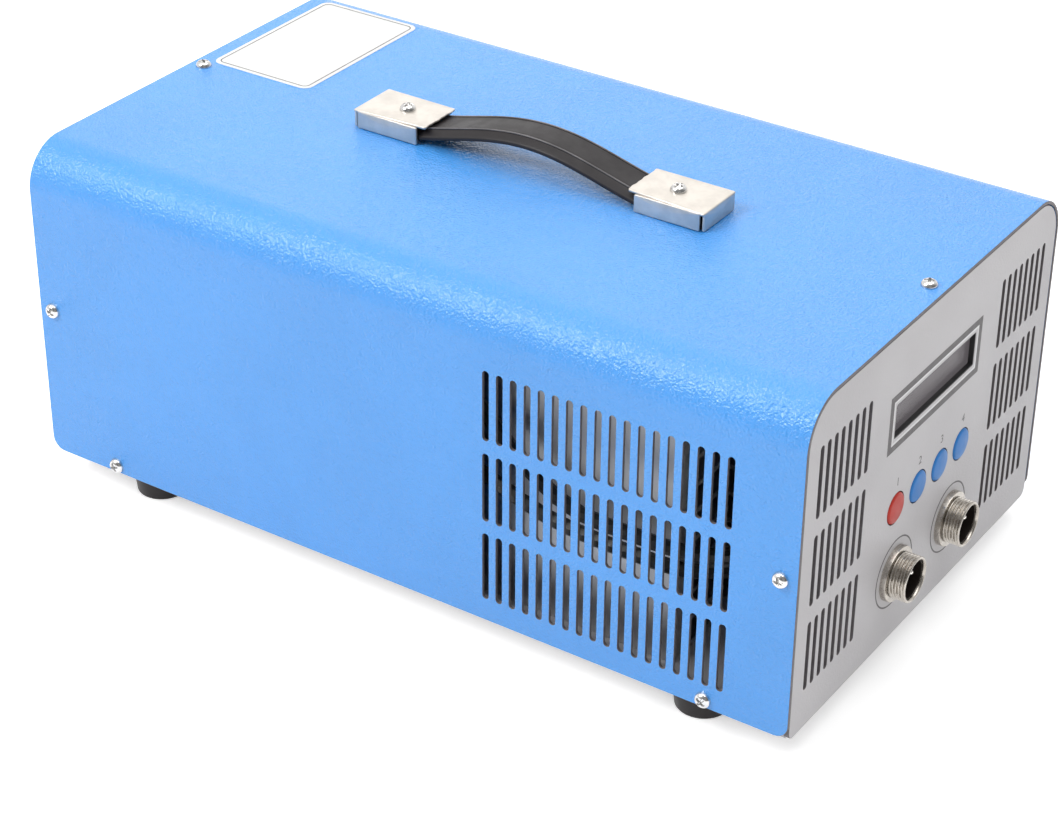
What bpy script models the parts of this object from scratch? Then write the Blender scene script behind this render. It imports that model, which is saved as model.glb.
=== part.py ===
"""Battery capacity tester: a bench instrument in a vented sheet-metal case with a strap handle.

The front panel faces -Y, the long vented sides face -X and +X, and the handle is on top.
The case stands on four rubber feet. The origin is on the table, under the middle of the case.
"""
import math

import bmesh
import bpy
from mathutils import Vector

# Case, in metres
CASE_W = 0.173
CASE_L = 0.300
CASE_H = 0.120
COVER_SHEET = 0.0012
COVER_R = 0.016
COVER_LIFT = 0.0016
COVER_CORNER_R = 0.005
FIT = 0.0003
TRAY_SHEET = 0.0012
TRAY_WALL_H = 0.0098
TRAY_BEND_R = 0.0018

# Front and rear panels, each a shallow pan whose rim takes the cover screws
PANEL_INSET = 0.0002
PANEL_SHEET = 0.0015
PANEL_FOOT_R = 0.003
RIM_SHEET = 0.0012
RIM_DEPTH = 0.0135
RIM_STEP = 0.0002

# Side vents: columns of upright slots in three rows
SIDE_SLOT_W = 0.0024
SIDE_COLUMNS = 18
SIDE_PITCH = 0.005156
SIDE_FRONT_MARGIN = 0.02455
SIDE_ROWS = 3
SIDE_ROW_GAP = 0.00483
SIDE_TOP_MARGIN = 0.0243
SIDE_LOW_MARGIN = 0.01014

# Front vents: a block of narrower slots at each side of the panel
FRONT_SLOT_W = 0.0019
FRONT_COLUMNS = 8
FRONT_PITCH = 0.00433
FRONT_SIDE_MARGIN = 0.00859
FRONT_ROWS = 3
FRONT_ROW_GAP = 0.0061
FRONT_TOP_MARGIN = 0.0153
FRONT_LOW_MARGIN = 0.0151

# Screws that hold the cover
SCREW_D = 0.003
SCREW_HEAD_D = 0.0057
SCREW_HEAD_H = 0.0019
SCREW_LENGTH = 0.006
SCREW_END_INSET = 0.0057
SIDE_SCREW_Z = 0.0594
TRAY_SCREW_INSET = 0.0298
TRAY_SCREW_Z = 0.0046

# Feet
FOOT_D = 0.020
FOOT_TIP_D = 0.0184
FOOT_H = 0.009
FOOT_SIDE_INSET = 0.013
FOOT_END_INSET = 0.0378
FOOT_RECESS_D = 0.0085
FOOT_RECESS_H = 0.005

# Handle
CAP_W = 0.0204
CAP_H = 0.0068
CAP_SHEET = 0.001
CAP_SCREW_Y = 0.0538
CAP_OUTER = 0.0156
CAP_LIP = 0.0137
CAP_LIP_OVERHANG = 0.0031
CAP_LIP_INSET = 0.0013
CAP_LIP_LIFT = 0.0006
CAP_EDGE_R = 0.0007
CAP_SLIT = 0.0007
STRAP_T = 0.0034
STRAP_EDGE_T = 0.0013
STRAP_BEVEL = 0.003
STRAP_RISE = 0.010
STRAP_REACH = 0.058
STRAP_END_GAP = 0.001
STRAP_SLOT = 0.007
STRAP_STATIONS = 26
HANDLE_SCREW_LENGTH = 0.0115

# Display and buttons
WINDOW_X = -0.0004
WINDOW_DROP = 0.032
WINDOW_W = 0.0552
WINDOW_H = 0.0122
WINDOW_R = 0.0008
LENS_MARGIN = 0.0024
LENS_T = 0.001
DISPLAY_W = 0.072
DISPLAY_H = 0.026
DISPLAY_T = 0.007
DISPLAY_R = 0.001
BOARD_SIDE = 0.008
BOARD_LOW_MARGIN = 0.0085
BOARD_TOP_DROP = 0.017
BOARD_T = 0.0016
BOARD_PILLAR_D = 0.005
BOARD_PILLAR_INSET = 0.0035
BUTTON_D = 0.0119
BUTTON_OUT = 0.0008
BUTTON_CROWN = 0.0006
BUTTON_SKIRT = 0.0032
BUTTON_STEM_D = 0.0042
BUTTON_STEM_DIP = 0.0008
BUTTON_FIRST_X = -0.0221
BUTTON_PITCH = 0.0154
BUTTON_COUNT = 4
BUTTON_LEVEL = 0.4305
BUTTON_TRAVEL = 0.0004
SWITCH_SIDE = 0.012
SWITCH_T = 0.0034
SWITCH_WELL = 0.0018

# Screw-thread sockets on the front
SOCKET_X = 0.0193
SOCKET_Z = 0.026
SOCKET_OUT = 0.008
SOCKET_THREAD_D = 0.016
SOCKET_BORE_D = 0.0136
SOCKET_FLANGE_D = 0.0192
SOCKET_FLANGE_T = 0.0018
SOCKET_FACE_DEPTH = 0.0085
SOCKET_TAIL = 0.012
SOCKET_NUT_AF = 0.0195
SOCKET_NUT_T = 0.0024
SOCKET_PIN_D = 0.002
SOCKET_PIN_X = 0.0033
SOCKET_PIN_TIP = 0.0026
SOCKET_PIN_BACK = 0.002
SOCKET_KEY = 0.0011
SOCKET_KEY_W = 0.0018

# Data socket on the rear under the mains inlet, a smaller one of the same kind
DATA_DROP = 0.0055
DATA_OUT = 0.008
DATA_THREAD_D = 0.012
DATA_BORE_D = 0.0098
DATA_FLANGE_D = 0.0150
DATA_FLANGE_T = 0.0015
DATA_FACE_DEPTH = 0.0085
DATA_TAIL = 0.010
DATA_NUT_AF = 0.0145
DATA_NUT_T = 0.002
DATA_PIN_D = 0.001
DATA_PIN_R = 0.0028
DATA_PIN_TIP = 0.0050
DATA_KEY = 0.0008
DATA_KEY_W = 0.0014

# Fan
FAN_SIDE = 0.080
FAN_WALL_GAP = 0.0073
FAN_DEPTH = 0.025
FAN_CORNER_R = 0.005
FAN_FLANGE_T = 0.0045
FAN_RING_T = 0.002
FAN_WALL = 0.0017
FAN_HOLE_INSET = 0.00425
FAN_HUB_D = 0.036
FAN_HUB_T = 0.0035
FAN_STRUT_W = 0.0032
FAN_STRUTS = 4
FAN_BOSS_D = 0.022
FAN_BOSS_H = 0.0105
FAN_SHAFT_D = 0.003
BLADE_TIP_GAP = 0.0014
ROTOR_GAP = 0.0007
ROTOR_HUB_H = 0.0178
ROTOR_CUP_WALL = 0.0025
BLADE_COUNT = 7
BLADE_T = 0.0014
BLADE_SPAN_Z = 0.0145
BLADE_SWEEP = math.radians(38)
FAN_SCREW_LENGTH = 0.0075
GUARD_WIRE_D = 0.0015
GUARD_RINGS = 4
GUARD_FIRST_R = 0.010
GUARD_LAST_INSET = 0.001
GUARD_EAR_R = 0.0034
GUARD_STAND = 0.0007

# Mains inlet with fuse drawer and rocker
INLET_WALL_GAP = 0.0178
INLET_Z = 0.066
INLET_FLANGE_W = 0.031
INLET_FLANGE_H = 0.058
INLET_FLANGE_T = 0.0026
INLET_BODY_W = 0.027
INLET_BODY_H = 0.047
INLET_BODY_DEPTH = 0.024
INLET_R = 0.0015
MOUTH_W = 0.0244
MOUTH_H = 0.0164
MOUTH_CHAMFER = 0.0045
MOUTH_Z = -0.0132
MOUTH_DEPTH = 0.0165
BLADE_PIN_W = 0.002
BLADE_PIN_H = 0.004
BLADE_PIN_X = 0.007
BLADE_PIN_RAISE = 0.002
BLADE_PIN_TIP = 0.0078
FUSE_Z = 0.0009
FUSE_SLOT_W = 0.0216
FUSE_SLOT_H = 0.0080
FUSE_SLOT_DEPTH = 0.0200
FUSE_FACE_W = 0.0240
FUSE_FACE_H = 0.0086
FUSE_FACE_T = 0.0018
FUSE_BODY_DEPTH = 0.0185
FUSE_TRAVEL = 0.015
FUSE_D = 0.005
FUSE_LENGTH = 0.0190
ROCKER_Z = 0.0133
ROCKER_W = 0.0196
ROCKER_H = 0.0120
ROCKER_END_RISE = 0.0040
ROCKER_MID_RISE = 0.0022
ROCKER_BELOW = 0.0015
ROCKER_PIVOT_DIP = 0.0019
ROCKER_TILT = math.radians(9)
ROCKER_FLOOR = 0.0055
TRUNNION_D = 0.003
TRUNNION_REACH = 0.001

# Heat sinks: two finned bars that face each other, ahead of the fan
SINK_WALL_GAP = 0.0133
SINK_FRONT_GAP = 0.0498
SINK_REAR_GAP = 0.028
SINK_LID_GAP = 0.0243
SINK_DUCT = 0.008
SINK_BASE_T = 0.005
SINK_FINS = 10
SINK_FIN_T = 0.0018
SINK_FIN_REACH = 0.027

# Power board, power supply and leads
MAIN_SINK_GAP = 0.006
MAIN_WALL_GAP = 0.0053
MAIN_FRONT_GAP = 0.0258
MAIN_REAR_GAP = 0.024
MAIN_STAND = 0.008
MAIN_POST_D = 0.006
MAIN_POST_INSET = 0.005
MAIN_PART_INSET = 0.004
MAIN_RIBBON_ROOM = 0.012
CAPACITOR_D = 0.016
CAPACITOR_H = 0.026
CAPACITOR_GAP = 0.002
CHOKE_D = 0.020
CHOKE_H = 0.013
RELAY_W = 0.016
RELAY_L = 0.026
RELAY_H = 0.018
TERMINAL_W = 0.028
TERMINAL_L = 0.016
TERMINAL_H = 0.016
SUPPLY_WALL_GAP = 0.0103
SUPPLY_REAR_GAP = 0.0378
SUPPLY_W = 0.090
SUPPLY_L = 0.104
SUPPLY_H = 0.050
SUPPLY_EDGE_R = 0.0015
LEAD_D = 0.005
LEAD_WALL_GAP = 0.0053
MAINS_ENTRY_DROP = 0.018
RIBBON_W = 0.020
RIBBON_T = 0.001
RIBBON_LAP = 0.0205
RIBBON_REACH = 0.0175
RIBBON_MAIN_OFFSET = 0.004

PANEL_OUT = CASE_L / 2 - PANEL_INSET
COVER_INNER_W = CASE_W - 2 * COVER_SHEET
PANEL_W = COVER_INNER_W - 2 * FIT
PANEL_TOP = CASE_H - COVER_SHEET - FIT
PANEL_R = COVER_R - COVER_SHEET - FIT
BEHIND_PANEL = -(PANEL_SHEET + FIT)
TRAY_TOP = TRAY_SHEET + FIT
HOLE_D = SCREW_D + 2 * FIT
FOOT_X = PANEL_W / 2 - FOOT_SIDE_INSET
FOOT_Y = PANEL_OUT - FOOT_END_INSET
TRAY_SCREW_Y = PANEL_OUT - TRAY_SCREW_INSET
SIDE_SLOT_H = (CASE_H - SIDE_TOP_MARGIN - SIDE_LOW_MARGIN - (SIDE_ROWS - 1) * SIDE_ROW_GAP) / SIDE_ROWS
FRONT_SLOT_H = (PANEL_TOP - FRONT_TOP_MARGIN - FRONT_LOW_MARGIN - (FRONT_ROWS - 1) * FRONT_ROW_GAP) / FRONT_ROWS
BOARD_W = DISPLAY_W + 2 * BOARD_SIDE

# The front's column, from the foot up: sockets, buttons, display
SOCKET_TOP_Z = SOCKET_Z + SOCKET_NUT_AF / 2
WINDOW_Z = PANEL_TOP - WINDOW_DROP
DISPLAY_LOW_Z = WINDOW_Z - DISPLAY_H / 2
BUTTON_Z = SOCKET_TOP_Z + (DISPLAY_LOW_Z - SOCKET_TOP_Z) * BUTTON_LEVEL
BOARD_LOW_Z = BUTTON_Z - BOARD_LOW_MARGIN
BOARD_TOP_Z = PANEL_TOP - BOARD_TOP_DROP

# Places inside the case, from the cover's inner walls and the two panels
WALL_X = COVER_INNER_W / 2
FAN_X = FAN_WALL_GAP + FAN_SIDE / 2 - WALL_X
FAN_Z = (TRAY_TOP + CASE_H - COVER_SHEET) / 2
FAN_BORE_D = FAN_SIDE - 2 * FAN_RING_T
FAN_HOLE_PITCH = FAN_SIDE - 2 * FAN_HOLE_INSET
ROTOR_D = FAN_BORE_D - 2 * BLADE_TIP_GAP
INLET_X = WALL_X - INLET_WALL_GAP - INLET_FLANGE_W / 2
DATA_X = INLET_X
DATA_Z = INLET_Z - INLET_FLANGE_H / 2 - DATA_DROP - DATA_FLANGE_D / 2
SUPPLY_X = WALL_X - SUPPLY_WALL_GAP - SUPPLY_W / 2
SUPPLY_Y = PANEL_OUT - SUPPLY_REAR_GAP - SUPPLY_L / 2
SUPPLY_FRONT_Y = SUPPLY_Y - SUPPLY_L / 2
SINK_OUTER_X = SINK_WALL_GAP - WALL_X
SINK_INNER_X = SINK_OUTER_X + 2 * (SINK_BASE_T + SINK_FIN_REACH) + SINK_DUCT
SINK_FRONT_Y = SINK_FRONT_GAP - PANEL_OUT
SINK_REAR_Y = SUPPLY_FRONT_Y - SINK_REAR_GAP
SINK_H = CASE_H - COVER_SHEET - TRAY_TOP - SINK_LID_GAP
MAIN_LEFT = SINK_INNER_X + MAIN_SINK_GAP
MAIN_RIGHT = WALL_X - MAIN_WALL_GAP
MAIN_FRONT = MAIN_FRONT_GAP - PANEL_OUT
MAIN_REAR = SUPPLY_FRONT_Y - MAIN_REAR_GAP
MAIN_X = (MAIN_LEFT + MAIN_RIGHT) / 2
BORE_STEPS = 16
HOLE_STEPS = 8
SLOT_STEPS = 2


def clear_scene():
    """Start from an empty scene."""
    for old in list(bpy.data.objects):
        bpy.data.objects.remove(old, do_unlink=True)


def look(name, colour, roughness, metallic=0.0):
    """A plain Principled material."""
    made = bpy.data.materials.new(name)
    made.use_nodes = True
    shader = made.node_tree.nodes["Principled BSDF"]
    shader.inputs["Base Color"].default_value = (*colour, 1.0)
    shader.inputs["Roughness"].default_value = roughness
    shader.inputs["Metallic"].default_value = metallic
    made.diffuse_color = (*colour, 1.0)
    return made


def frame(name, parent=None, at=(0, 0, 0), turn=(0, 0, 0)):
    """An empty that carries the pieces of one face of the case."""
    empty = bpy.data.objects.new(name, None)
    bpy.context.scene.collection.objects.link(empty)
    empty.parent = parent
    empty.location = at
    empty.rotation_euler = turn
    return empty


def piece(bm, name, material, parent, at=(0, 0, 0), turn=(0, 0, 0), smooth=35):
    """Turn a bmesh into a placed object with outward faces and smooth round walls."""
    bmesh.ops.recalc_face_normals(bm, faces=bm.faces)
    mesh = bpy.data.meshes.new(name)
    bm.to_mesh(mesh)
    bm.free()
    mesh.shade_smooth()
    mesh.set_sharp_from_angle(angle=math.radians(smooth))
    mesh.materials.append(material)
    return place(mesh, name, parent, at, turn)


def place(mesh, name, parent, at=(0, 0, 0), turn=(0, 0, 0)):
    """Put a mesh in the scene as a named object under its frame."""
    made = bpy.data.objects.new(name, mesh)
    bpy.context.scene.collection.objects.link(made)
    made.parent = parent
    made.location = at
    made.rotation_euler = turn
    return made


def shape(target, tool, operation):
    """Cut a tool from a piece, or weld it on, and hide the tool."""
    tool.hide_render = True
    tool.display_type = "WIRE"
    step = target.modifiers.new(tool.name, "BOOLEAN")
    step.operation = operation
    step.solver = "EXACT"
    step.object = tool


def cut(target, *tools):
    """Cut each tool from a piece."""
    for tool in tools:
        shape(target, tool, "DIFFERENCE")


def weld(target, *tools):
    """Weld each tool onto a piece."""
    for tool in tools:
        shape(target, tool, "UNION")


def spot(axis, u, v, station):
    """A point of an outline, set at a station of the axis it is swept along."""
    if axis == "X":
        return (station, u, v)
    if axis == "Y":
        return (u, station, v)
    return (u, v, station)


def add_skin(bm, rings, loop=False):
    """Skin rings of equal length; the two ends are capped unless the skin closes on itself."""
    rows = [[bm.verts.new(point) for point in ring] for ring in rings]
    count = len(rows[0])
    pairs = list(zip(rows, rows[1:]))
    if loop:
        pairs.append((rows[-1], rows[0]))
    else:
        bm.faces.new(rows[0])
        bm.faces.new(rows[-1])
    for near, far in pairs:
        for i in range(count):
            j = (i + 1) % count
            bm.faces.new((near[i], near[j], far[j], far[i]))


def add_prism(bm, outline, low, high, axis="Z"):
    """Sweep a closed outline straight between two stations."""
    add_skin(bm, [[spot(axis, u, v, s) for u, v in outline] for s in (low, high)])


def add_cylinder(bm, centre, diameter, low, high, axis="Z", steps=BORE_STEPS):
    """A straight round bar or bore."""
    add_prism(bm, circle(diameter / 2, steps, centre), low, high, axis)


def add_turned(bm, profile, steps, centre=(0, 0)):
    """Turn a closed profile of radii and heights, clear of the axis, about Z."""
    rings = []
    for radius, height in profile:
        rings.append([(x, y, height) for x, y in circle(radius, steps, centre)])
    add_skin(bm, rings, loop=True)


def add_stacked(bm, profile, steps, centre=(0, 0)):
    """Turn a solid about Z from a profile that runs from its top disc to its bottom disc."""
    add_skin(bm, [[(x, y, h) for x, y in circle(r, steps, centre)] for r, h in profile])


def circle(radius, steps, centre=(0, 0)):
    """Points round a circle."""
    return [
        (centre[0] + radius * math.cos(math.tau * i / steps), centre[1] + radius * math.sin(math.tau * i / steps))
        for i in range(steps)
    ]


def rectangle(width, height, radius=0.0, centre=(0, 0), steps=3):
    """A rectangle with round corners, or square ones at radius 0."""
    cx, cy = centre
    if radius <= 0:
        return [
            (cx + sx * width / 2, cy + sy * height / 2)
            for sx, sy in ((-1, -1), (1, -1), (1, 1), (-1, 1))
        ]
    points = []
    for corner, (sx, sy) in enumerate(((1, 1), (-1, 1), (-1, -1), (1, -1))):
        for i in range(steps + 1):
            a = math.pi / 2 * (corner + i / steps)
            x = cx + sx * (width / 2 - radius) + radius * math.cos(a)
            y = cy + sy * (height / 2 - radius) + radius * math.sin(a)
            points.append((x, y))
    return points


def slot(width, height, centre):
    """An upright slot with round ends."""
    cx, cy = centre
    radius = width / 2
    points = []
    for side, start in ((1, 0.0), (-1, math.pi)):
        for i in range(SLOT_STEPS + 1):
            a = start + math.pi * i / SLOT_STEPS
            points.append((cx + radius * math.cos(a), cy + side * (height / 2 - radius) + radius * math.sin(a)))
    return points


def arch(width, top, radius, foot, steps=6):
    """An open path up one wall, over two round corners and down the other wall."""
    half = width / 2
    path = [(-half, foot)]
    for start, cx in ((math.pi, -half + radius), (math.pi / 2, half - radius)):
        for i in range(steps + 1):
            a = start - math.pi / 2 * i / steps
            path.append((cx + radius * math.cos(a), top - radius + radius * math.sin(a)))
    path.append((half, foot))
    return path


def doorway(width, top, radius, foot, foot_radius, steps=6):
    """A closed panel outline: wide round corners on top, small ones at the foot."""
    path = arch(width, top, radius, foot + foot_radius, steps)
    for start, cx in ((0.0, width / 2 - foot_radius), (-math.pi / 2, -width / 2 + foot_radius)):
        for i in range(4):
            a = start - math.pi / 2 * i / 3
            point = (cx + foot_radius * math.cos(a), foot + foot_radius + foot_radius * math.sin(a))
            if math.dist(point, path[-1]) > 1e-6 and math.dist(point, path[0]) > 1e-6:
                path.append(point)
    return path


def hexagon(across_flats):
    """A nut's outline."""
    radius = across_flats / math.sqrt(3)
    return circle(radius, 6)


def side_slot_centres():
    """Centres of the side slots as (y, z), counted from the front end and from the foot."""
    return [
        (SIDE_FRONT_MARGIN - CASE_L / 2 + SIDE_PITCH * i,
         SIDE_LOW_MARGIN + SIDE_SLOT_H / 2 + (SIDE_SLOT_H + SIDE_ROW_GAP) * j)
        for i in range(SIDE_COLUMNS)
        for j in range(SIDE_ROWS)
    ]


def front_slot_centres():
    """Centres of the front slots as (x, z), counted from the panel's sides and from its foot."""
    return [
        (side * (PANEL_W / 2 - FRONT_SIDE_MARGIN - FRONT_PITCH * i),
         FRONT_LOW_MARGIN + FRONT_SLOT_H / 2 + (FRONT_SLOT_H + FRONT_ROW_GAP) * j)
        for side in (-1, 1)
        for i in range(FRONT_COLUMNS)
        for j in range(FRONT_ROWS)
    ]


def screw_paths():
    """The screw holes of the cover, the panels' rims and the tray walls, as one cutter."""
    bm = bmesh.new()
    reach = CASE_W / 2 + 0.002
    end_y = PANEL_OUT - SCREW_END_INSET
    for end in (-1, 1):
        add_cylinder(bm, (end * end_y, SIDE_SCREW_Z), HOLE_D, -reach, reach, "X", HOLE_STEPS)
        add_cylinder(bm, (end * TRAY_SCREW_Y, TRAY_SCREW_Z), HOLE_D, -reach, reach, "X", HOLE_STEPS)
        add_cylinder(bm, (0, end * end_y), HOLE_D, CASE_H - 0.008, CASE_H + 0.002, "Z", HOLE_STEPS)
        add_cylinder(bm, (0, end * CAP_SCREW_Y), HOLE_D, CASE_H - 0.008, CASE_H + 0.002, "Z", HOLE_STEPS)
    return piece(bm, "cut_screw_paths", BARE_STEEL, CASE)


def make_cover(paths):
    """One sheet bent over the top and both sides, with the vent slots punched through."""
    bm = bmesh.new()
    outer = arch(CASE_W, CASE_H, COVER_R, COVER_LIFT)
    inner = arch(COVER_INNER_W, CASE_H - COVER_SHEET, COVER_R - COVER_SHEET, COVER_LIFT)
    add_prism(bm, outer + inner[::-1], -CASE_L / 2, CASE_L / 2, "Y")
    corners = []
    for edge in bm.edges:
        a, b = (v.co for v in edge.verts)
        level = all(abs(p.z - COVER_LIFT) < 1e-6 for p in (a, b))
        end = abs(a.y - b.y) < 1e-6 and abs(abs(a.y) - CASE_L / 2) < 1e-6
        if level and end and a.x * b.x > 0:
            corners.append(edge)
    bmesh.ops.bevel(bm, geom=corners, offset=COVER_CORNER_R, segments=4, profile=0.5, affect="EDGES")
    cover = piece(bm, "cover", BLUE_COAT, CASE)
    bm = bmesh.new()
    for centre in side_slot_centres():
        add_prism(bm, slot(SIDE_SLOT_W, SIDE_SLOT_H, centre), -CASE_W / 2 - 0.002, CASE_W / 2 + 0.002, "X")
    cut(cover, piece(bm, "cut_side_vents", BARE_STEEL, CASE), paths)


def make_tray(paths):
    """The floor sheet, with its two long edges bent up inside the cover."""
    bm = bmesh.new()
    outer = arch(PANEL_W, TRAY_WALL_H, TRAY_BEND_R, 0.0, 3)
    inner = arch(PANEL_W - 2 * TRAY_SHEET, TRAY_WALL_H - TRAY_SHEET, TRAY_BEND_R - TRAY_SHEET, 0.0, 3)
    outline = [(u, TRAY_WALL_H - v) for u, v in outer + inner[::-1]]
    reach = PANEL_OUT - PANEL_SHEET - FIT
    add_prism(bm, outline, -reach, reach, "Y")
    cut(piece(bm, "base_tray", GREY_COAT, CASE), paths)


def add_pan(bm):
    """A flat face with a folded rim behind it, drawn with the face's front at height 0."""
    rim_foot = TRAY_WALL_H + 2 * FIT

    def ring(step, foot, depth):
        outline = doorway(PANEL_W - 2 * step, PANEL_TOP - step, PANEL_R - step, foot, PANEL_FOOT_R - step)
        return [(u, v, -depth) for u, v in outline]

    add_skin(bm, [
        ring(0.0, 0.0, 0.0),
        ring(0.0, 0.0, PANEL_SHEET),
        ring(RIM_STEP, rim_foot, PANEL_SHEET),
        ring(RIM_STEP, rim_foot, RIM_DEPTH),
        ring(RIM_STEP + RIM_SHEET, rim_foot + RIM_SHEET, RIM_DEPTH),
        ring(RIM_STEP + RIM_SHEET, rim_foot + RIM_SHEET, PANEL_SHEET),
    ])


def through_panel(bm, outline):
    """A cut through the panel's face."""
    add_prism(bm, outline, -PANEL_SHEET - 0.001, 0.001)


def button_centres():
    """Centres of the buttons on the front panel."""
    return [(BUTTON_FIRST_X + BUTTON_PITCH * i, BUTTON_Z) for i in range(BUTTON_COUNT)]


def make_front_panel(paths):
    """The front face with its window, button holes, socket holes and vents."""
    bm = bmesh.new()
    add_pan(bm)
    panel = piece(bm, "front_panel", GREY_COAT, FRONT)
    bm = bmesh.new()
    for centre in front_slot_centres():
        through_panel(bm, slot(FRONT_SLOT_W, FRONT_SLOT_H, centre))
    through_panel(bm, rectangle(WINDOW_W, WINDOW_H, WINDOW_R, (WINDOW_X, WINDOW_Z)))
    for centre in button_centres():
        through_panel(bm, circle(BUTTON_D / 2 + FIT, 20, centre))
    for side in (-1, 1):
        through_panel(bm, circle(SOCKET_THREAD_D / 2 + FIT, 20, (side * SOCKET_X, SOCKET_Z)))
    cut(panel, piece(bm, "cut_front_openings", BARE_STEEL, FRONT), paths)


def fan_hole_centres():
    """The four corner holes of the fan, about the fan's own axis."""
    half = FAN_HOLE_PITCH / 2
    return [(sx * half, sy * half) for sx in (-1, 1) for sy in (-1, 1)]


def make_rear_panel(paths):
    """The rear face with the fan opening, the mains inlet cut-out and the data socket hole."""
    bm = bmesh.new()
    add_pan(bm)
    panel = piece(bm, "rear_panel", GREY_COAT, REAR)
    bm = bmesh.new()
    through_panel(bm, circle(FAN_BORE_D / 2, 28, (-FAN_X, FAN_Z)))
    for x, y in fan_hole_centres():
        through_panel(bm, circle(HOLE_D / 2, HOLE_STEPS, (x - FAN_X, y + FAN_Z)))
    opening = rectangle(INLET_BODY_W + 2 * FIT, INLET_BODY_H + 2 * FIT, INLET_R, (-INLET_X, INLET_Z))
    through_panel(bm, opening)
    through_panel(bm, circle(DATA_THREAD_D / 2 + FIT, 16, (-DATA_X, DATA_Z)))
    cut(panel, piece(bm, "cut_rear_openings", BARE_STEEL, REAR), paths)


def screw_mesh(name, length):
    """A pan-head screw with its head above height 0 and its shank below."""
    bm = bmesh.new()
    head = SCREW_HEAD_D / 2
    shank = SCREW_D / 2
    profile = [
        (head * 0.55, FIT + SCREW_HEAD_H),
        (head, FIT),
        (shank, FIT),
        (shank, -length),
    ]
    add_stacked(bm, profile, 8)
    bmesh.ops.recalc_face_normals(bm, faces=bm.faces)
    mesh = bpy.data.meshes.new(name)
    bm.to_mesh(mesh)
    bm.free()
    mesh.shade_smooth()
    mesh.set_sharp_from_angle(angle=math.radians(50))
    mesh.materials.append(CHROME)
    return mesh


def make_screws():
    """Ten screws for the cover, two for the handle and four for the fan."""
    short = screw_mesh("cover_screw", SCREW_LENGTH)
    end_y = PANEL_OUT - SCREW_END_INSET
    for end, place_name in ((-1, "front"), (1, "rear")):
        place(short, f"screw_top_{place_name}", CASE, (0, end * end_y, CASE_H))
        for side, side_name in ((-1, "left"), (1, "right")):
            x = side * CASE_W / 2
            turn = (0, side * math.pi / 2, 0)
            place(short, f"screw_{side_name}_{place_name}", CASE, (x, end * end_y, SIDE_SCREW_Z), turn)
            place(short, f"screw_tray_{side_name}_{place_name}", CASE, (x, end * TRAY_SCREW_Y, TRAY_SCREW_Z), turn)
    deep = screw_mesh("handle_screw", HANDLE_SCREW_LENGTH)
    for end, place_name in ((-1, "front"), (1, "rear")):
        place(deep, f"handle_screw_{place_name}", CASE, (0, end * CAP_SCREW_Y, CASE_H + CAP_H))
    fan = screw_mesh("fan_screw", FAN_SCREW_LENGTH)
    lift = GUARD_STAND + GUARD_WIRE_D
    for index, (x, y) in enumerate(fan_hole_centres(), 1):
        place(fan, f"fan_screw_{index}", REAR, (x - FAN_X, y + FAN_Z, lift))


def make_feet():
    """Four tapered rubber feet with a screw recess underneath."""
    bm = bmesh.new()
    tip = FOOT_TIP_D / 2
    recess = FOOT_RECESS_D / 2
    profile = [
        (FOOT_D / 2, -FIT),
        (FOOT_D / 2, -FOOT_H * 0.45),
        (tip + 0.0002, -FOOT_H + 0.0012),
        (tip - 0.0010, -FOOT_H),
        (recess, -FOOT_H),
        (recess - 0.0004, -FOOT_H + FOOT_RECESS_H),
    ]
    add_stacked(bm, profile, 14)
    first = piece(bm, "foot_front_left", BLACK_RUBBER, CASE, (-FOOT_X, -FOOT_Y, 0))
    for sx, sy, name in ((1, -1, "foot_front_right"), (-1, 1, "foot_rear_left"), (1, 1, "foot_rear_right")):
        place(first.data, name, CASE, (sx * FOOT_X, sy * FOOT_Y, 0))


def strap_height(y):
    """Height of the strap's underside above the cover: flat in the caps, arched between them."""
    share = min(abs(y) / STRAP_REACH, 1.0)
    return FIT + STRAP_RISE * (1 + math.cos(math.pi * share)) / 2


def make_handle():
    """A moulded strap that arches between two folded metal caps, each held by one screw."""
    half = CAP_W / 2 - CAP_SHEET - FIT
    section = [
        (-half, 0.0),
        (half, 0.0),
        (half, STRAP_EDGE_T),
        (half - STRAP_BEVEL, STRAP_T),
        (STRAP_BEVEL - half, STRAP_T),
        (-half, STRAP_EDGE_T),
    ]
    end = CAP_SCREW_Y + CAP_OUTER - CAP_SHEET - STRAP_END_GAP
    rings = []
    for i in range(STRAP_STATIONS + 1):
        y = end * (2 * i / STRAP_STATIONS - 1)
        slope = (strap_height(y + 1e-4) - strap_height(y - 1e-4)) / 2e-4
        run = math.sqrt(1 + slope * slope)
        rings.append([(u, y - v * slope / run, strap_height(y) + v / run) for u, v in section])
    bm = bmesh.new()
    add_skin(bm, rings)
    strap = piece(bm, "handle_strap", BLACK_RUBBER, TOP)
    bm = bmesh.new()
    for sign in (-1, 1):
        outline = slot(HOLE_D, STRAP_SLOT, (0, sign * CAP_SCREW_Y))
        add_prism(bm, outline, -0.002, CAP_H + 0.002)
    cut(strap, piece(bm, "cut_strap_slots", BARE_STEEL, TOP))
    for sign, name in ((1, "rear"), (-1, "front")):
        turn = (0, 0, 0 if sign > 0 else math.pi)
        make_cap(f"handle_cap_{name}", (0, sign * CAP_SCREW_Y, 0), turn)


def raise_lip(bm, flap):
    """Tilt the roof upward beyond the side flaps, where the strap under it pushes the lip."""
    parts = bm.verts[:] + bm.edges[:] + bm.faces[:]
    bmesh.ops.bisect_plane(bm, geom=parts, dist=1e-6, plane_co=(0, flap, 0), plane_no=(0, 1, 0))
    for corner in bm.verts:
        if corner.co.z > CAP_H / 2:
            corner.co.z += max(flap - corner.co.y, 0.0) * CAP_LIP_LIFT / CAP_LIP_OVERHANG


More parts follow.
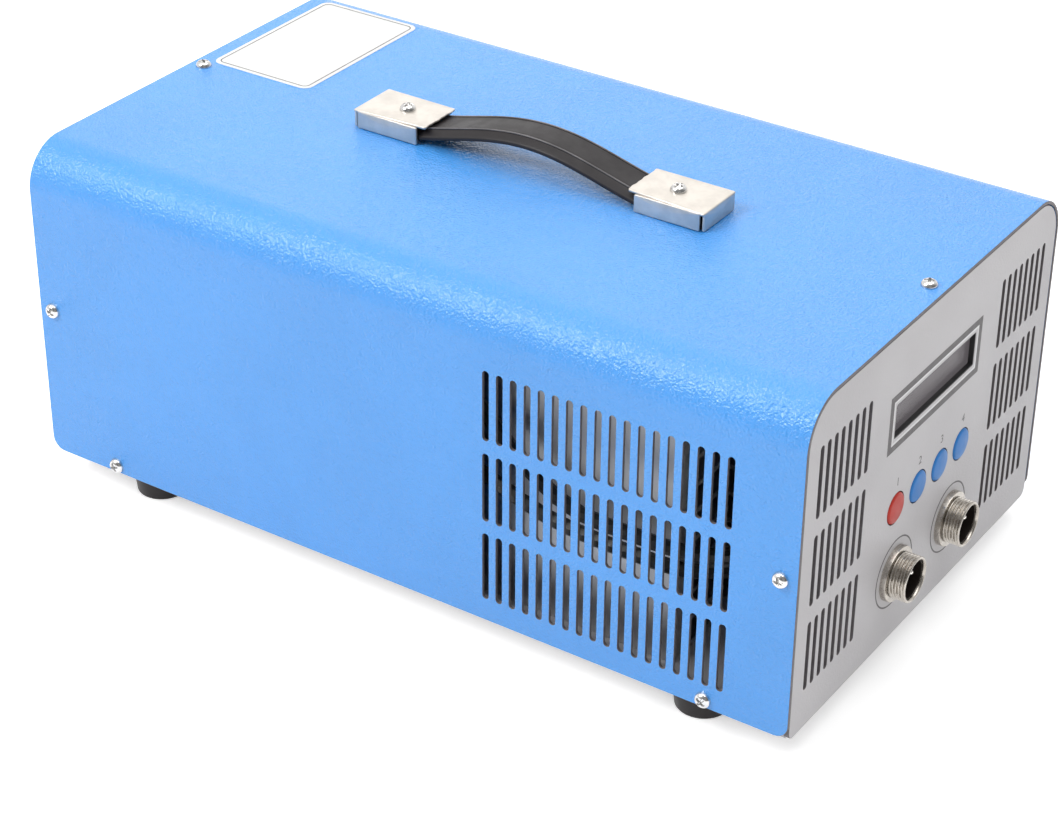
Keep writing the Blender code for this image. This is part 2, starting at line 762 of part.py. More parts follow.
def make_cap(name, at, turn):
    """A folded cap over the strap's end: roof with a narrower lip, two side flaps and an end flap."""
    bm = bmesh.new()
    flap = -CAP_LIP + CAP_LIP_OVERHANG
    length = CAP_OUTER + CAP_LIP
    middle = (CAP_OUTER - CAP_LIP) / 2
    add_prism(bm, rectangle(CAP_W, length, 0, (0, middle)), FIT, CAP_H)
    folds = []
    for edge in bm.edges:
        a, b = (v.co for v in edge.verts)
        on_top = all(abs(p.z - CAP_H) < 1e-6 for p in (a, b))
        lip_edge = all(abs(p.y + CAP_LIP) < 1e-6 for p in (a, b))
        if on_top and not lip_edge:
            folds.append(edge)
    bmesh.ops.bevel(bm, geom=folds, offset=CAP_EDGE_R, segments=2, profile=0.5, affect="EDGES")
    raise_lip(bm, flap)
    cap = piece(bm, name, NICKEL, TOP, at, turn)
    bm = bmesh.new()
    roof = CAP_H - CAP_SHEET
    wide = CAP_W / 2 + 0.001
    inside = CAP_W / 2 - CAP_SHEET
    hollow = [
        (-wide, -CAP_LIP - 0.001), (wide, -CAP_LIP - 0.001), (wide, flap), (inside, flap),
        (inside, CAP_OUTER - CAP_SHEET), (-inside, CAP_OUTER - CAP_SHEET), (-inside, flap), (-wide, flap),
    ]
    add_prism(bm, hollow, -0.001, roof)
    raise_lip(bm, flap)
    cavity = piece(bm, f"cut_{name}_hollow", BARE_STEEL, TOP, at, turn)
    bm = bmesh.new()
    for side in (-1, 1):
        centre = (side * CAP_W / 2, CAP_OUTER)
        add_prism(bm, rectangle(2 * CAP_SLIT, 2 * CAP_SLIT, 0, centre), -0.002, roof - 0.0003)
        lip_side = (side * CAP_W / 2, flap - CAP_LIP_OVERHANG)
        beside_lip = rectangle(2 * CAP_LIP_INSET, 2 * CAP_LIP_OVERHANG, 0, lip_side)
        add_prism(bm, beside_lip, roof - 0.0005, CAP_H + 0.002)
    add_cylinder(bm, (0, 0), HOLE_D, roof - 0.001, CAP_H + 0.001, "Z", 12)
    cut(cap, cavity, piece(bm, f"cut_{name}_corners", BARE_STEEL, TOP, at, turn))


def make_display():
    """Lens, display module and the control board that carries the push switches."""
    bm = bmesh.new()
    lens = rectangle(WINDOW_W + 2 * LENS_MARGIN, WINDOW_H + 2 * LENS_MARGIN, WINDOW_R, (WINDOW_X, WINDOW_Z))
    add_prism(bm, lens, BEHIND_PANEL - LENS_T, BEHIND_PANEL)
    piece(bm, "display_lens", SMOKED_LENS, FRONT)
    display_front = BEHIND_PANEL - LENS_T - FIT
    display_back = display_front - DISPLAY_T
    bm = bmesh.new()
    add_prism(bm, rectangle(DISPLAY_W, DISPLAY_H, DISPLAY_R, (WINDOW_X, WINDOW_Z)), display_back, display_front)
    piece(bm, "display_module", DARK_PLASTIC, FRONT)
    board_front = display_back - FIT
    board_back = board_front - BOARD_T
    middle = (0, (BOARD_LOW_Z + BOARD_TOP_Z) / 2)
    height = BOARD_TOP_Z - BOARD_LOW_Z
    bm = bmesh.new()
    add_prism(bm, rectangle(BOARD_W, height, 0, middle), board_back, board_front)
    board = piece(bm, "control_board", BOARD_GREEN, FRONT)
    reach_x = BOARD_W / 2 - BOARD_PILLAR_INSET
    reach_y = height / 2 - BOARD_PILLAR_INSET
    bm = bmesh.new()
    for sx in (-1, 1):
        for sy in (-1, 1):
            centre = (sx * reach_x, middle[1] + sy * reach_y)
            add_cylinder(bm, centre, BOARD_PILLAR_D, board_front - 0.0006, BEHIND_PANEL, "Z", 8)
    for centre in button_centres():
        body = rectangle(SWITCH_SIDE, SWITCH_SIDE, 0, centre)
        add_prism(bm, body, board_front - 0.0006, board_front + SWITCH_T)
    weld(board, piece(bm, "add_board_parts", BARE_STEEL, FRONT))
    switch_front = board_front + SWITCH_T
    bm = bmesh.new()
    for centre in button_centres():
        well = BUTTON_STEM_D + 2 * FIT
        add_cylinder(bm, centre, well, switch_front - SWITCH_WELL, switch_front + 0.001, "Z", 8)
    cut(board, piece(bm, "cut_switch_wells", BARE_STEEL, FRONT))
    make_buttons(switch_front)


def make_buttons(switch_front):
    """Round caps, each with a stem that dips into its switch and travels along the panel's normal."""
    radius = BUTTON_D / 2
    profile = [
        (radius * 0.55, BUTTON_OUT),
        (radius * 0.86, BUTTON_OUT - BUTTON_CROWN * 0.35),
        (radius, BUTTON_OUT - BUTTON_CROWN * 1.6),
        (radius, -BUTTON_SKIRT),
        (BUTTON_STEM_D / 2, -BUTTON_SKIRT),
        (BUTTON_STEM_D / 2, switch_front - BUTTON_STEM_DIP),
    ]
    colours = (RED_CAP, BLUE_CAP, BLUE_CAP, BLUE_CAP)
    names = ("button_red", "button_blue_1", "button_blue_2", "button_blue_3")
    for centre, material, name in zip(button_centres(), colours, names):
        bm = bmesh.new()
        add_stacked(bm, profile, 16)
        piece(bm, name, material, FRONT, (*centre, 0))


def make_socket(name, parent, centre, size, pins):
    """A panel socket: threaded shell with a key in its bore, insert with pins, and a nut behind."""
    thread = size["thread"] / 2
    bore = size["bore"] / 2
    flange = size["flange"] / 2
    out = size["out"]
    seat = FIT + size["flange_t"]
    bm = bmesh.new()
    edge = 0.0004
    tail = -size["tail"]
    profile = [
        (bore, out), (thread - edge, out), (thread, out - edge), (thread, seat), (flange, seat), (flange, FIT),
        (thread, FIT), (thread, tail), (bore, tail),
    ]
    add_turned(bm, profile, 16)
    shell = piece(bm, f"{name}_shell", NICKEL, parent, (*centre, 0))
    face = out - size["face"]
    bm = bmesh.new()
    key = rectangle(size["key"] * 2, size["key_w"], 0, (-bore, 0))
    add_prism(bm, key, face + FIT, out - 0.0008)
    weld(shell, piece(bm, f"add_{name}_key", BARE_STEEL, parent, (*centre, 0)))
    bm = bmesh.new()
    back = tail + SOCKET_PIN_BACK
    add_cylinder(bm, (0, 0), size["bore"] - 2 * FIT, back, face)
    insert = piece(bm, f"{name}_insert", DARK_PLASTIC, parent, (*centre, 0))
    bm = bmesh.new()
    for pin in pins:
        tip = out - size["pin_tip"]
        width = size["pin_d"]
        shaft = [(width * 0.28, tip), (width / 2, tip - width * 0.3), (width / 2, back - 2 * SOCKET_PIN_BACK)]
        add_stacked(bm, shaft, 8, pin)
    weld(insert, piece(bm, f"add_{name}_pins", BARE_STEEL, parent, (*centre, 0)))
    bm = bmesh.new()
    add_prism(bm, hexagon(size["nut"]), BEHIND_PANEL - size["nut_t"], BEHIND_PANEL)
    nut = piece(bm, f"{name}_nut", NICKEL, parent, (*centre, 0))
    bm = bmesh.new()
    add_cylinder(bm, (0, 0), size["thread"] + 2 * FIT, BEHIND_PANEL - size["nut_t"] - 0.001, 0.001)
    cut(nut, piece(bm, f"cut_{name}_nut", BARE_STEEL, parent, (*centre, 0)))


def make_sockets():
    """Two large sockets on the front and a small one on the rear."""
    large = {
        "thread": SOCKET_THREAD_D, "bore": SOCKET_BORE_D, "flange": SOCKET_FLANGE_D, "flange_t": SOCKET_FLANGE_T,
        "out": SOCKET_OUT, "face": SOCKET_FACE_DEPTH, "tail": SOCKET_TAIL, "nut": SOCKET_NUT_AF,
        "nut_t": SOCKET_NUT_T, "pin_d": SOCKET_PIN_D, "pin_tip": SOCKET_PIN_TIP, "key": SOCKET_KEY,
        "key_w": SOCKET_KEY_W,
    }
    small = {
        "thread": DATA_THREAD_D, "bore": DATA_BORE_D, "flange": DATA_FLANGE_D, "flange_t": DATA_FLANGE_T,
        "out": DATA_OUT, "face": DATA_FACE_DEPTH, "tail": DATA_TAIL, "nut": DATA_NUT_AF,
        "nut_t": DATA_NUT_T, "pin_d": DATA_PIN_D, "pin_tip": DATA_PIN_TIP, "key": DATA_KEY, "key_w": DATA_KEY_W,
    }
    pair = [(-SOCKET_PIN_X, 0), (SOCKET_PIN_X, 0)]
    make_socket("socket_left", FRONT, (-SOCKET_X, SOCKET_Z), large, pair)
    make_socket("socket_right", FRONT, (SOCKET_X, SOCKET_Z), large, pair)
    make_socket("socket_data", REAR, (-DATA_X, DATA_Z), small, circle(DATA_PIN_R, 4))


def make_fan():
    """Frame with bore, struts and motor seat; bladed rotor on its shaft; wire guard outside the panel."""
    centre = (-FAN_X, FAN_Z, 0)
    front = BEHIND_PANEL
    back = front - FAN_DEPTH
    bore = FAN_BORE_D / 2
    bm = bmesh.new()
    add_prism(bm, rectangle(FAN_SIDE, FAN_SIDE, FAN_CORNER_R), front - FAN_FLANGE_T, front)
    body = piece(bm, "fan_frame", BLACK_PLASTIC, REAR, centre)
    bm = bmesh.new()
    add_cylinder(bm, (0, 0), FAN_BORE_D + 2 * FAN_WALL, back + 0.001, front - 0.001, "Z", 28)
    tube = piece(bm, "add_fan_tube", BARE_STEEL, REAR, centre)
    bm = bmesh.new()
    add_prism(bm, rectangle(FAN_SIDE, FAN_SIDE, FAN_CORNER_R), back, back + FAN_FLANGE_T)
    weld(body, tube, piece(bm, "add_fan_flange", BARE_STEEL, REAR, centre))
    bm = bmesh.new()
    add_cylinder(bm, (0, 0), FAN_BORE_D, back - 0.001, front + 0.001, "Z", 28)
    for hole in fan_hole_centres():
        add_cylinder(bm, hole, HOLE_D, back - 0.001, front + 0.001, "Z", 6)
    cut(body, piece(bm, "cut_fan_bore", BARE_STEEL, REAR, centre))
    hub_back = front - FAN_HUB_T
    bm = bmesh.new()
    for i in range(FAN_STRUTS):
        a = math.tau * i / FAN_STRUTS + math.radians(20)
        along = Vector((math.cos(a), math.sin(a)))
        across = Vector((-along.y, along.x)) * FAN_STRUT_W / 2
        near = along * (FAN_BOSS_D / 2)
        far = along * (bore + FAN_WALL / 2)
        outline = [tuple(near - across), tuple(far - across), tuple(far + across), tuple(near + across)]
        add_prism(bm, outline, hub_back, front - 0.0004)
    struts = piece(bm, "add_fan_struts", BARE_STEEL, REAR, centre)
    bm = bmesh.new()
    hub = FAN_HUB_D / 2
    boss = FAN_BOSS_D / 2
    boss_back = hub_back - FAN_BOSS_H
    add_stacked(bm, [(hub, front), (hub, hub_back), (boss, hub_back), (boss, boss_back)], 16)
    seat = piece(bm, "add_fan_seat", BARE_STEEL, REAR, centre)
    weld(body, struts, seat)
    bm = bmesh.new()
    add_cylinder(bm, (0, 0), FAN_SHAFT_D + 2 * FIT, boss_back - 0.001, front - 0.001, "Z", 8)
    cut(body, piece(bm, "cut_fan_bearing", BARE_STEEL, REAR, centre))
    make_rotor(centre, hub_back, boss_back, front)
    make_guard(centre)


def make_rotor(centre, hub_back, boss_back, front):
    """A cup over the motor seat with a shaft inside it and swept blades around it."""
    top = hub_back - ROTOR_GAP
    low = top - ROTOR_HUB_H
    cup = FAN_HUB_D / 2
    well = cup - ROTOR_CUP_WALL
    floor = low + ROTOR_CUP_WALL
    shaft = FAN_SHAFT_D / 2
    bm = bmesh.new()
    profile = [
        (cup - 0.001, low), (cup, low + 0.001), (cup, top), (well, top), (well, floor), (shaft, floor),
        (shaft, front - 0.002),
    ]
    add_stacked(bm, profile, 20)
    rotor = piece(bm, "fan_rotor", BLACK_PLASTIC, REAR, centre)
    blade_low = low + 0.0012
    bm = bmesh.new()
    for i in range(BLADE_COUNT):
        add_blade(bm, math.tau * i / BLADE_COUNT, cup - 0.0012, ROTOR_D / 2, blade_low)
    weld(rotor, piece(bm, "add_rotor_blades", BARE_STEEL, REAR, centre))


def add_blade(bm, start, inner, outer, low):
    """One blade: a thin cambered section that sweeps forward and widens toward the tip."""
    rings = []
    for j in range(3):
        share = j / 2
        radius = inner + (outer - inner) * share
        lean = math.radians(14) * share
        ring = []
        for side in (-1, 1):
            for k in range(3):
                t = k / 2 if side < 0 else 1 - k / 2
                camber = 0.0012 * math.sin(math.pi * t) + side * BLADE_T / 2
                a = start + lean + BLADE_SWEEP * (t - 0.5)
                z = low + BLADE_SPAN_Z * t
                x = radius * math.cos(a) - camber * math.sin(a)
                y = radius * math.sin(a) + camber * math.cos(a)
                ring.append((x, y, z))
        rings.append(ring)
    add_skin(bm, rings)


def add_wire_ring(bm, radius, wire, height, steps, sides=4):
    """A round wire bent to a circle."""
    rings = []
    for i in range(steps):
        a = math.tau * i / steps
        ring = []
        for k in range(sides):
            b = math.tau * k / sides
            r = radius + wire / 2 * math.cos(b)
            ring.append((r * math.cos(a), r * math.sin(a), height + wire / 2 * math.sin(b)))
        rings.append(ring)
    add_skin(bm, rings, loop=True)


def make_guard(centre):
    """A wire finger guard: rings welded to four spokes that end in screw eyes."""
    spoke_z = GUARD_STAND + GUARD_WIRE_D / 2
    ring_z = spoke_z + GUARD_WIRE_D * 0.6
    bm = bmesh.new()
    last = FAN_BORE_D / 2 - GUARD_LAST_INSET
    for i in range(GUARD_RINGS):
        radius = GUARD_FIRST_R + (last - GUARD_FIRST_R) * i / (GUARD_RINGS - 1)
        add_wire_ring(bm, radius, GUARD_WIRE_D, ring_z, int(9 + radius * 320))
    guard = piece(bm, "fan_guard", CHROME, REAR, centre)
    eye_distance = FAN_HOLE_PITCH / math.sqrt(2)
    for index, (x, y) in enumerate(fan_hole_centres(), 1):
        along = Vector((x, y)).normalized()
        bm = bmesh.new()
        spoke_end = eye_distance - GUARD_EAR_R
        near = GUARD_FIRST_R - GUARD_WIRE_D * 0.4
        rings = []
        for reach in (near, spoke_end):
            foot = along * reach
            ring = []
            for k in range(4):
                b = math.tau * k / 4
                offset = GUARD_WIRE_D / 2 * math.cos(b)
                height = spoke_z + GUARD_WIRE_D / 2 * math.sin(b)
                ring.append((foot.x - along.y * offset, foot.y + along.x * offset, height))
            rings.append(ring)
        add_skin(bm, rings)
        weld(guard, piece(bm, f"add_guard_spoke_{index}", BARE_STEEL, REAR, centre))
        bm = bmesh.new()
        add_wire_ring(bm, GUARD_EAR_R, GUARD_WIRE_D, spoke_z, 10)
        spot_at = (centre[0] + x, centre[1] + y, 0)
        weld(guard, piece(bm, f"add_guard_eye_{index}", BARE_STEEL, REAR, spot_at))


def make_inlet():
    """Mains inlet block with its blade pins, fuse drawer and rocker."""
    centre = (-INLET_X, INLET_Z, 0)
    face = FIT + INLET_FLANGE_T
    wide = rectangle(INLET_FLANGE_W, INLET_FLANGE_H, INLET_R)
    slim = rectangle(INLET_BODY_W, INLET_BODY_H, INLET_R)
    bm = bmesh.new()
    add_skin(bm, [
        [(u, v, face) for u, v in rectangle(INLET_FLANGE_W - 0.001, INLET_FLANGE_H - 0.001, INLET_R)],
        [(u, v, face - 0.0006) for u, v in wide],
        [(u, v, FIT) for u, v in wide],
        [(u, v, FIT) for u, v in slim],
        [(u, v, -INLET_BODY_DEPTH) for u, v in slim],
    ])
    block = piece(bm, "inlet_block", BLACK_PLASTIC, REAR, centre)
    bm = bmesh.new()
    half_w = MOUTH_W / 2
    half_h = MOUTH_H / 2
    c = MOUTH_CHAMFER
    mouth = [
        (-half_w, MOUTH_Z - half_h), (half_w, MOUTH_Z - half_h), (half_w, MOUTH_Z + half_h - c),
        (half_w - c, MOUTH_Z + half_h), (c - half_w, MOUTH_Z + half_h), (-half_w, MOUTH_Z + half_h - c),
    ]
    floor = face - MOUTH_DEPTH
    add_prism(bm, mouth, floor, face + 0.001)
    fuse_slot = rectangle(FUSE_SLOT_W, FUSE_SLOT_H, 0, (0, FUSE_Z))
    add_prism(bm, fuse_slot, face - FUSE_SLOT_DEPTH, face + 0.001)
    sweep = math.hypot(ROCKER_W / 2, ROCKER_END_RISE) + FIT
    well = rectangle(2 * sweep, ROCKER_H + 2 * FIT, 0, (0, ROCKER_Z))
    add_prism(bm, well, face - ROCKER_FLOOR, face + 0.001)
    cut(block, piece(bm, "cut_inlet_wells", BARE_STEEL, REAR, centre))
    bm = bmesh.new()
    bearing = ROCKER_H / 2 + FIT + TRUNNION_REACH
    pivot = face - ROCKER_PIVOT_DIP
    low_z = ROCKER_Z - bearing
    high_z = ROCKER_Z + bearing
    outline = circle(TRUNNION_D / 2 + FIT, 12, (0, pivot))
    add_skin(bm, [[(u, s, v) for u, v in outline] for s in (low_z, high_z)])
    cut(block, piece(bm, "cut_rocker_bearing", BARE_STEEL, REAR, centre))
    bm = bmesh.new()
    raised = BLADE_PIN_RAISE
    for x, raise_by in ((-BLADE_PIN_X, -raised), (0, raised), (BLADE_PIN_X, -raised)):
        pin = rectangle(BLADE_PIN_W, BLADE_PIN_H, 0, (x, MOUTH_Z + raise_by))
        add_prism(bm, pin, floor - 0.001, face - BLADE_PIN_TIP)
    weld(block, piece(bm, "add_inlet_pins", BARE_STEEL, REAR, centre))
    make_fuse_drawer(centre, face)
    make_rocker(centre, pivot)


def make_fuse_drawer(centre, face):
    """A small drawer that carries the fuse and pulls straight out."""
    bm = bmesh.new()
    add_prism(bm, rectangle(FUSE_FACE_W, FUSE_FACE_H, 0.0008), face + FIT, face + FIT + FUSE_FACE_T)
    at = (centre[0], centre[1] + FUSE_Z, 0)
    drawer = piece(bm, "fuse_drawer", BLACK_PLASTIC, REAR, at)
    bm = bmesh.new()
    slim_w = FUSE_SLOT_W - 2 * FIT
    slim_h = FUSE_SLOT_H - 2 * FIT
    add_prism(bm, rectangle(slim_w, slim_h), face - FUSE_BODY_DEPTH, face + FIT + FUSE_FACE_T / 2)
    weld(drawer, piece(bm, "add_drawer_body", BARE_STEEL, REAR, at))
    bm = bmesh.new()
    cradle_w = FUSE_LENGTH + 2 * FIT
    depth = FUSE_D + 2 * FIT
    low = face - FUSE_BODY_DEPTH + 0.003
    add_prism(bm, rectangle(cradle_w, slim_h, 0, (0, slim_h / 2 - depth / 2 + 0.0005)), low, low + depth)
    cut(drawer, piece(bm, "cut_fuse_cradle", BARE_STEEL, REAR, at))
    bm = bmesh.new()
    middle = slim_h - depth / 2 + 0.0005 - slim_h / 2
    outline = circle(FUSE_D / 2, 12, (middle - 0.0005, low + depth / 2))
    add_prism(bm, outline, -FUSE_LENGTH / 2, FUSE_LENGTH / 2, "X")
    piece(bm, "fuse", CLEAR_GLASS, REAR, at)


def make_rocker(centre, pivot):
    """A rocker with a shallow V top, tilted to its off position on two trunnions."""
    half = ROCKER_W / 2
    outline = [
        (-half, -ROCKER_BELOW), (half, -ROCKER_BELOW), (half, ROCKER_END_RISE),
        (0, ROCKER_MID_RISE), (-half, ROCKER_END_RISE),
    ]
    bm = bmesh.new()
    add_skin(bm, [[(u, s, v) for u, v in outline] for s in (-ROCKER_H / 2, ROCKER_H / 2)])
    at = (centre[0], centre[1] + ROCKER_Z, pivot)
    rocker = piece(bm, "rocker", RED_CAP, REAR, at, (0, ROCKER_TILT, 0))
    bm = bmesh.new()
    reach = ROCKER_H / 2 + TRUNNION_REACH
    trunnion = circle(TRUNNION_D / 2, 12)
    add_skin(bm, [[(u, s, v) for u, v in trunnion] for s in (-reach, reach)])
    weld(rocker, piece(bm, "add_trunnions", BARE_STEEL, REAR, at, (0, ROCKER_TILT, 0)))


def sink_outline(outer_x, sign):
    """A finned bar's section in X and Z, with its fins toward the sign of X."""
    low = TRAY_TOP
    high = TRAY_TOP + SINK_H
    base = outer_x + sign * SINK_BASE_T
    tip = base + sign * SINK_FIN_REACH
    pitch = (SINK_H - SINK_FIN_T) / (SINK_FINS - 1)
    outline = [(outer_x, high), (outer_x, low)]
    for i in range(SINK_FINS):
        bottom = low + pitch * i
        outline += [(base, bottom)] if i else []
        outline += [(tip, bottom), (tip, bottom + SINK_FIN_T)]
        outline += [(base, bottom + SINK_FIN_T)] if i < SINK_FINS - 1 else []
    return outline


def make_sinks():
    """Two finned bars that stand on the tray with their fins toward each other."""
    for name, outer_x, sign in (("heatsink_outer", SINK_OUTER_X, 1), ("heatsink_inner", SINK_INNER_X, -1)):
        bm = bmesh.new()
        add_prism(bm, sink_outline(outer_x, sign), SINK_FRONT_Y, SINK_REAR_Y, "Y")
        piece(bm, name, BARE_ALUMINIUM, CASE)


def make_boards():
    """The power board on its posts and the boxed power supply, both on the tray."""
    bm = bmesh.new()
    low = TRAY_TOP + MAIN_STAND
    top = low + BOARD_T
    middle = (MAIN_X, (MAIN_FRONT + MAIN_REAR) / 2)
    outline = rectangle(MAIN_RIGHT - MAIN_LEFT, MAIN_REAR - MAIN_FRONT, 0, middle)
    add_prism(bm, outline, low, top)
    board = piece(bm, "power_board", BOARD_GREEN, CASE)
    bm = bmesh.new()
    root = top - BOARD_T / 3
    for x in (MAIN_LEFT + MAIN_POST_INSET, MAIN_RIGHT - MAIN_POST_INSET):
        for y in (MAIN_FRONT + MAIN_POST_INSET, MAIN_REAR - MAIN_POST_INSET):
            add_cylinder(bm, (x, y), MAIN_POST_D, TRAY_TOP, root, "Z", 8)
    x = MAIN_RIGHT - MAIN_PART_INSET - CAPACITOR_D / 2
    y = MAIN_REAR - MAIN_PART_INSET - CAPACITOR_D / 2
    for i in range(2):
        centre = (x, y - (CAPACITOR_D + CAPACITOR_GAP) * i)
        add_cylinder(bm, centre, CAPACITOR_D, root, top + CAPACITOR_H, "Z", 12)
    x = MAIN_LEFT + MAIN_PART_INSET + CHOKE_D / 2
    y = MAIN_REAR - MAIN_PART_INSET - CHOKE_D / 2
    add_cylinder(bm, (x, y), CHOKE_D, root, top + CHOKE_H, "Z", 12)
    x = MAIN_LEFT + MAIN_PART_INSET + TERMINAL_W / 2
    y = MAIN_FRONT + MAIN_RIBBON_ROOM + TERMINAL_L / 2
    add_prism(bm, rectangle(TERMINAL_W, TERMINAL_L, 0, (x, y)), root, top + TERMINAL_H)
    x = MAIN_RIGHT - MAIN_PART_INSET - RELAY_W / 2
    y = middle[1] - MAIN_PART_INSET
    add_prism(bm, rectangle(RELAY_W, RELAY_L, 0, (x, y)), root, top + RELAY_H)
    weld(board, piece(bm, "add_power_parts", BARE_STEEL, CASE))
    bm = bmesh.new()
    box = rectangle(SUPPLY_W, SUPPLY_L, SUPPLY_EDGE_R, (SUPPLY_X, SUPPLY_Y))
    lid_w = SUPPLY_W - 2 * SUPPLY_EDGE_R
    lid_l = SUPPLY_L - 2 * SUPPLY_EDGE_R
    lid = rectangle(lid_w, lid_l, SUPPLY_EDGE_R, (SUPPLY_X, SUPPLY_Y))
    high = TRAY_TOP + SUPPLY_H
    add_skin(bm, [
        [(u, v, TRAY_TOP) for u, v in box],
        [(u, v, high - SUPPLY_EDGE_R) for u, v in box],
        [(u, v, high) for u, v in lid],
    ])
    piece(bm, "power_supply", BARE_STEEL, CASE)


def smooth_route(stops, spacing):
    """Points at an even spacing along a smooth curve through the stops."""
    points = [Vector(stop) for stop in stops]
    ends = [points[0] * 2 - points[1]] + points + [points[-1] * 2 - points[-2]]
    dense = []
    for a, b, c, d in zip(ends, ends[1:], ends[2:], ends[3:]):
        for i in range(24):
            t = i / 24
            dense.append(0.5 * (2 * b + (c - a) * t + (2 * a - 5 * b + 4 * c - d) * t * t
                                + (3 * b - a - 3 * c + d) * t * t * t))
    dense.append(points[-1])
    lengths = [0.0]
    for near, far in zip(dense, dense[1:]):
        lengths.append(lengths[-1] + (far - near).length)
    count = max(2, round(lengths[-1] / spacing))
    route = []
    for i in range(count + 1):
        goal = lengths[-1] * i / count
        j = next((k for k in range(1, len(lengths)) if lengths[k] >= goal - 1e-9), len(lengths) - 1)
        span = lengths[j] - lengths[j - 1]
        route.append(dense[j - 1].lerp(dense[j], (goal - lengths[j - 1]) / span if span else 0.0))
    return route


def make_lead(name, stops, diameter, material):
    """A round lead along a smooth route."""
    curve = bpy.data.curves.new(name, "CURVE")
    curve.dimensions = "3D"
    curve.bevel_depth = diameter / 2
    curve.bevel_resolution = 2
    curve.use_fill_caps = True
    spline = curve.splines.new("POLY")
    route = smooth_route(stops, diameter * 2.0)
    spline.points.add(len(route) - 1)
    for point, co in zip(spline.points, route):
        point.co = (*co, 1.0)
    curve.materials.append(material)
    place(curve, name, CASE)


def lead_stops(anchors):
    """Stops of a lead: each anchor point with its offset counted in lead diameters."""
    return [tuple(c + LEAD_D * step for c, step in zip(anchor, offset)) for anchor, offset in anchors]


def make_leads():
    """Two output leads from the left socket to the supply, and the mains lead behind the inlet."""
    pin_y = -PANEL_OUT + SOCKET_TAIL + SOCKET_PIN_BACK + 2 * FIT
    supply_y = SUPPLY_FRONT_Y - 2 * FIT
    supply_x = SUPPLY_X - SUPPLY_W / 2
    run_x = LEAD_WALL_GAP - WALL_X
    pin_x = -SOCKET_X - SOCKET_PIN_X
    z = SOCKET_Z
    pin = (pin_x, pin_y, z)
    before = (SINK_OUTER_X, SINK_FRONT_Y, z)
    run = (run_x, SINK_FRONT_Y, z)
    run_end = (run_x, SINK_REAR_Y, z)
    behind = (SINK_OUTER_X, SINK_REAR_Y, z)
    inner = (SINK_INNER_X, SINK_REAR_Y, z)
    entry = (supply_x, supply_y, z)
    make_lead("output_lead_1", lead_stops([
        (pin, (0, 0, 0)), (pin, (0, 1.4, 0)), (pin, (-1.5, 2.35, 0.6)),
        (before, (4.4, -3.9, 2.4)), (before, (-0.6, -1.8, 4.44)),
        (run, (0, 1.2, 5.0)), (run, (0, 6.8, 5.24)), (run_end, (0, -5.2, 7.6)), (run_end, (0.24, -2.0, 10.4)),
        (behind, (-0.3, 1.4, 11.6)), (behind, (4.4, 2.3, 9.4)), (inner, (-4.4, 2.5, 5.0)),
        (entry, (1.1, -2.3, 2.7)), (entry, (1.3, -0.9, 2.4)), (entry, (1.3, 0, 2.4)),
    ]), LEAD_D, BLACK_RUBBER)
    pin = (pin_x + 2 * SOCKET_PIN_X, pin_y, z)
    make_lead("output_lead_2", lead_stops([
        (pin, (0, 0, 0)), (pin, (0, 1.4, 0)), (pin, (-1.6, 2.95, -0.9)),
        (before, (5.2, -2.9, 0.6)), (before, (-0.3, -1.4, 2.9)),
        (run, (0, 1.4, 3.6)), (run, (0, 8.0, 3.84)), (run_end, (0.04, -3.2, 5.2)),
        (behind, (-0.6, 1.3, 6.0)), (behind, (4.4, 2.3, 4.2)), (inner, (-4.4, 2.3, 2.0)),
        (entry, (2.6, -2.6, 1.6)), (entry, (3.3, -0.9, 1.7)), (entry, (3.3, 0, 1.7)),
    ]), LEAD_D, BLACK_RUBBER)
    inlet_y = PANEL_OUT - INLET_BODY_DEPTH - FIT
    supply_back = SUPPLY_Y + SUPPLY_L / 2 + FIT
    drop = INLET_Z - MAINS_ENTRY_DROP
    make_lead("mains_lead", [
        (INLET_X, inlet_y, drop), (INLET_X, inlet_y - LEAD_D, drop),
        (INLET_X, supply_back + LEAD_D, drop), (INLET_X, supply_back, drop),
    ], LEAD_D, GREY_SLEEVE)


def make_ribbon():
    """A flat ribbon from the control board down to the power board."""
    display_back = BEHIND_PANEL - LENS_T - FIT - DISPLAY_T
    back = -PANEL_OUT - (display_back - FIT - BOARD_T) + FIT
    foot = TRAY_TOP + MAIN_STAND + BOARD_T + FIT
    drop = BOARD_LOW_Z - foot
    path = [(back, BOARD_LOW_Z + RIBBON_LAP), (back, BOARD_LOW_Z + RIBBON_LAP * 0.3)]
    for out, height in ((0.17, 0.89), (0.69, 0.455), (0.91, 0.205), (1.0, 0.0)):
        path.append((back + RIBBON_REACH * out, foot + drop * height))
    far = [(y + RIBBON_T, z) for y, z in path]
    bm = bmesh.new()
    right = MAIN_X - RIBBON_MAIN_OFFSET
    add_prism(bm, path + far[::-1], right - RIBBON_W, right, "X")
    piece(bm, "ribbon_cable", GREY_SLEEVE, CASE)


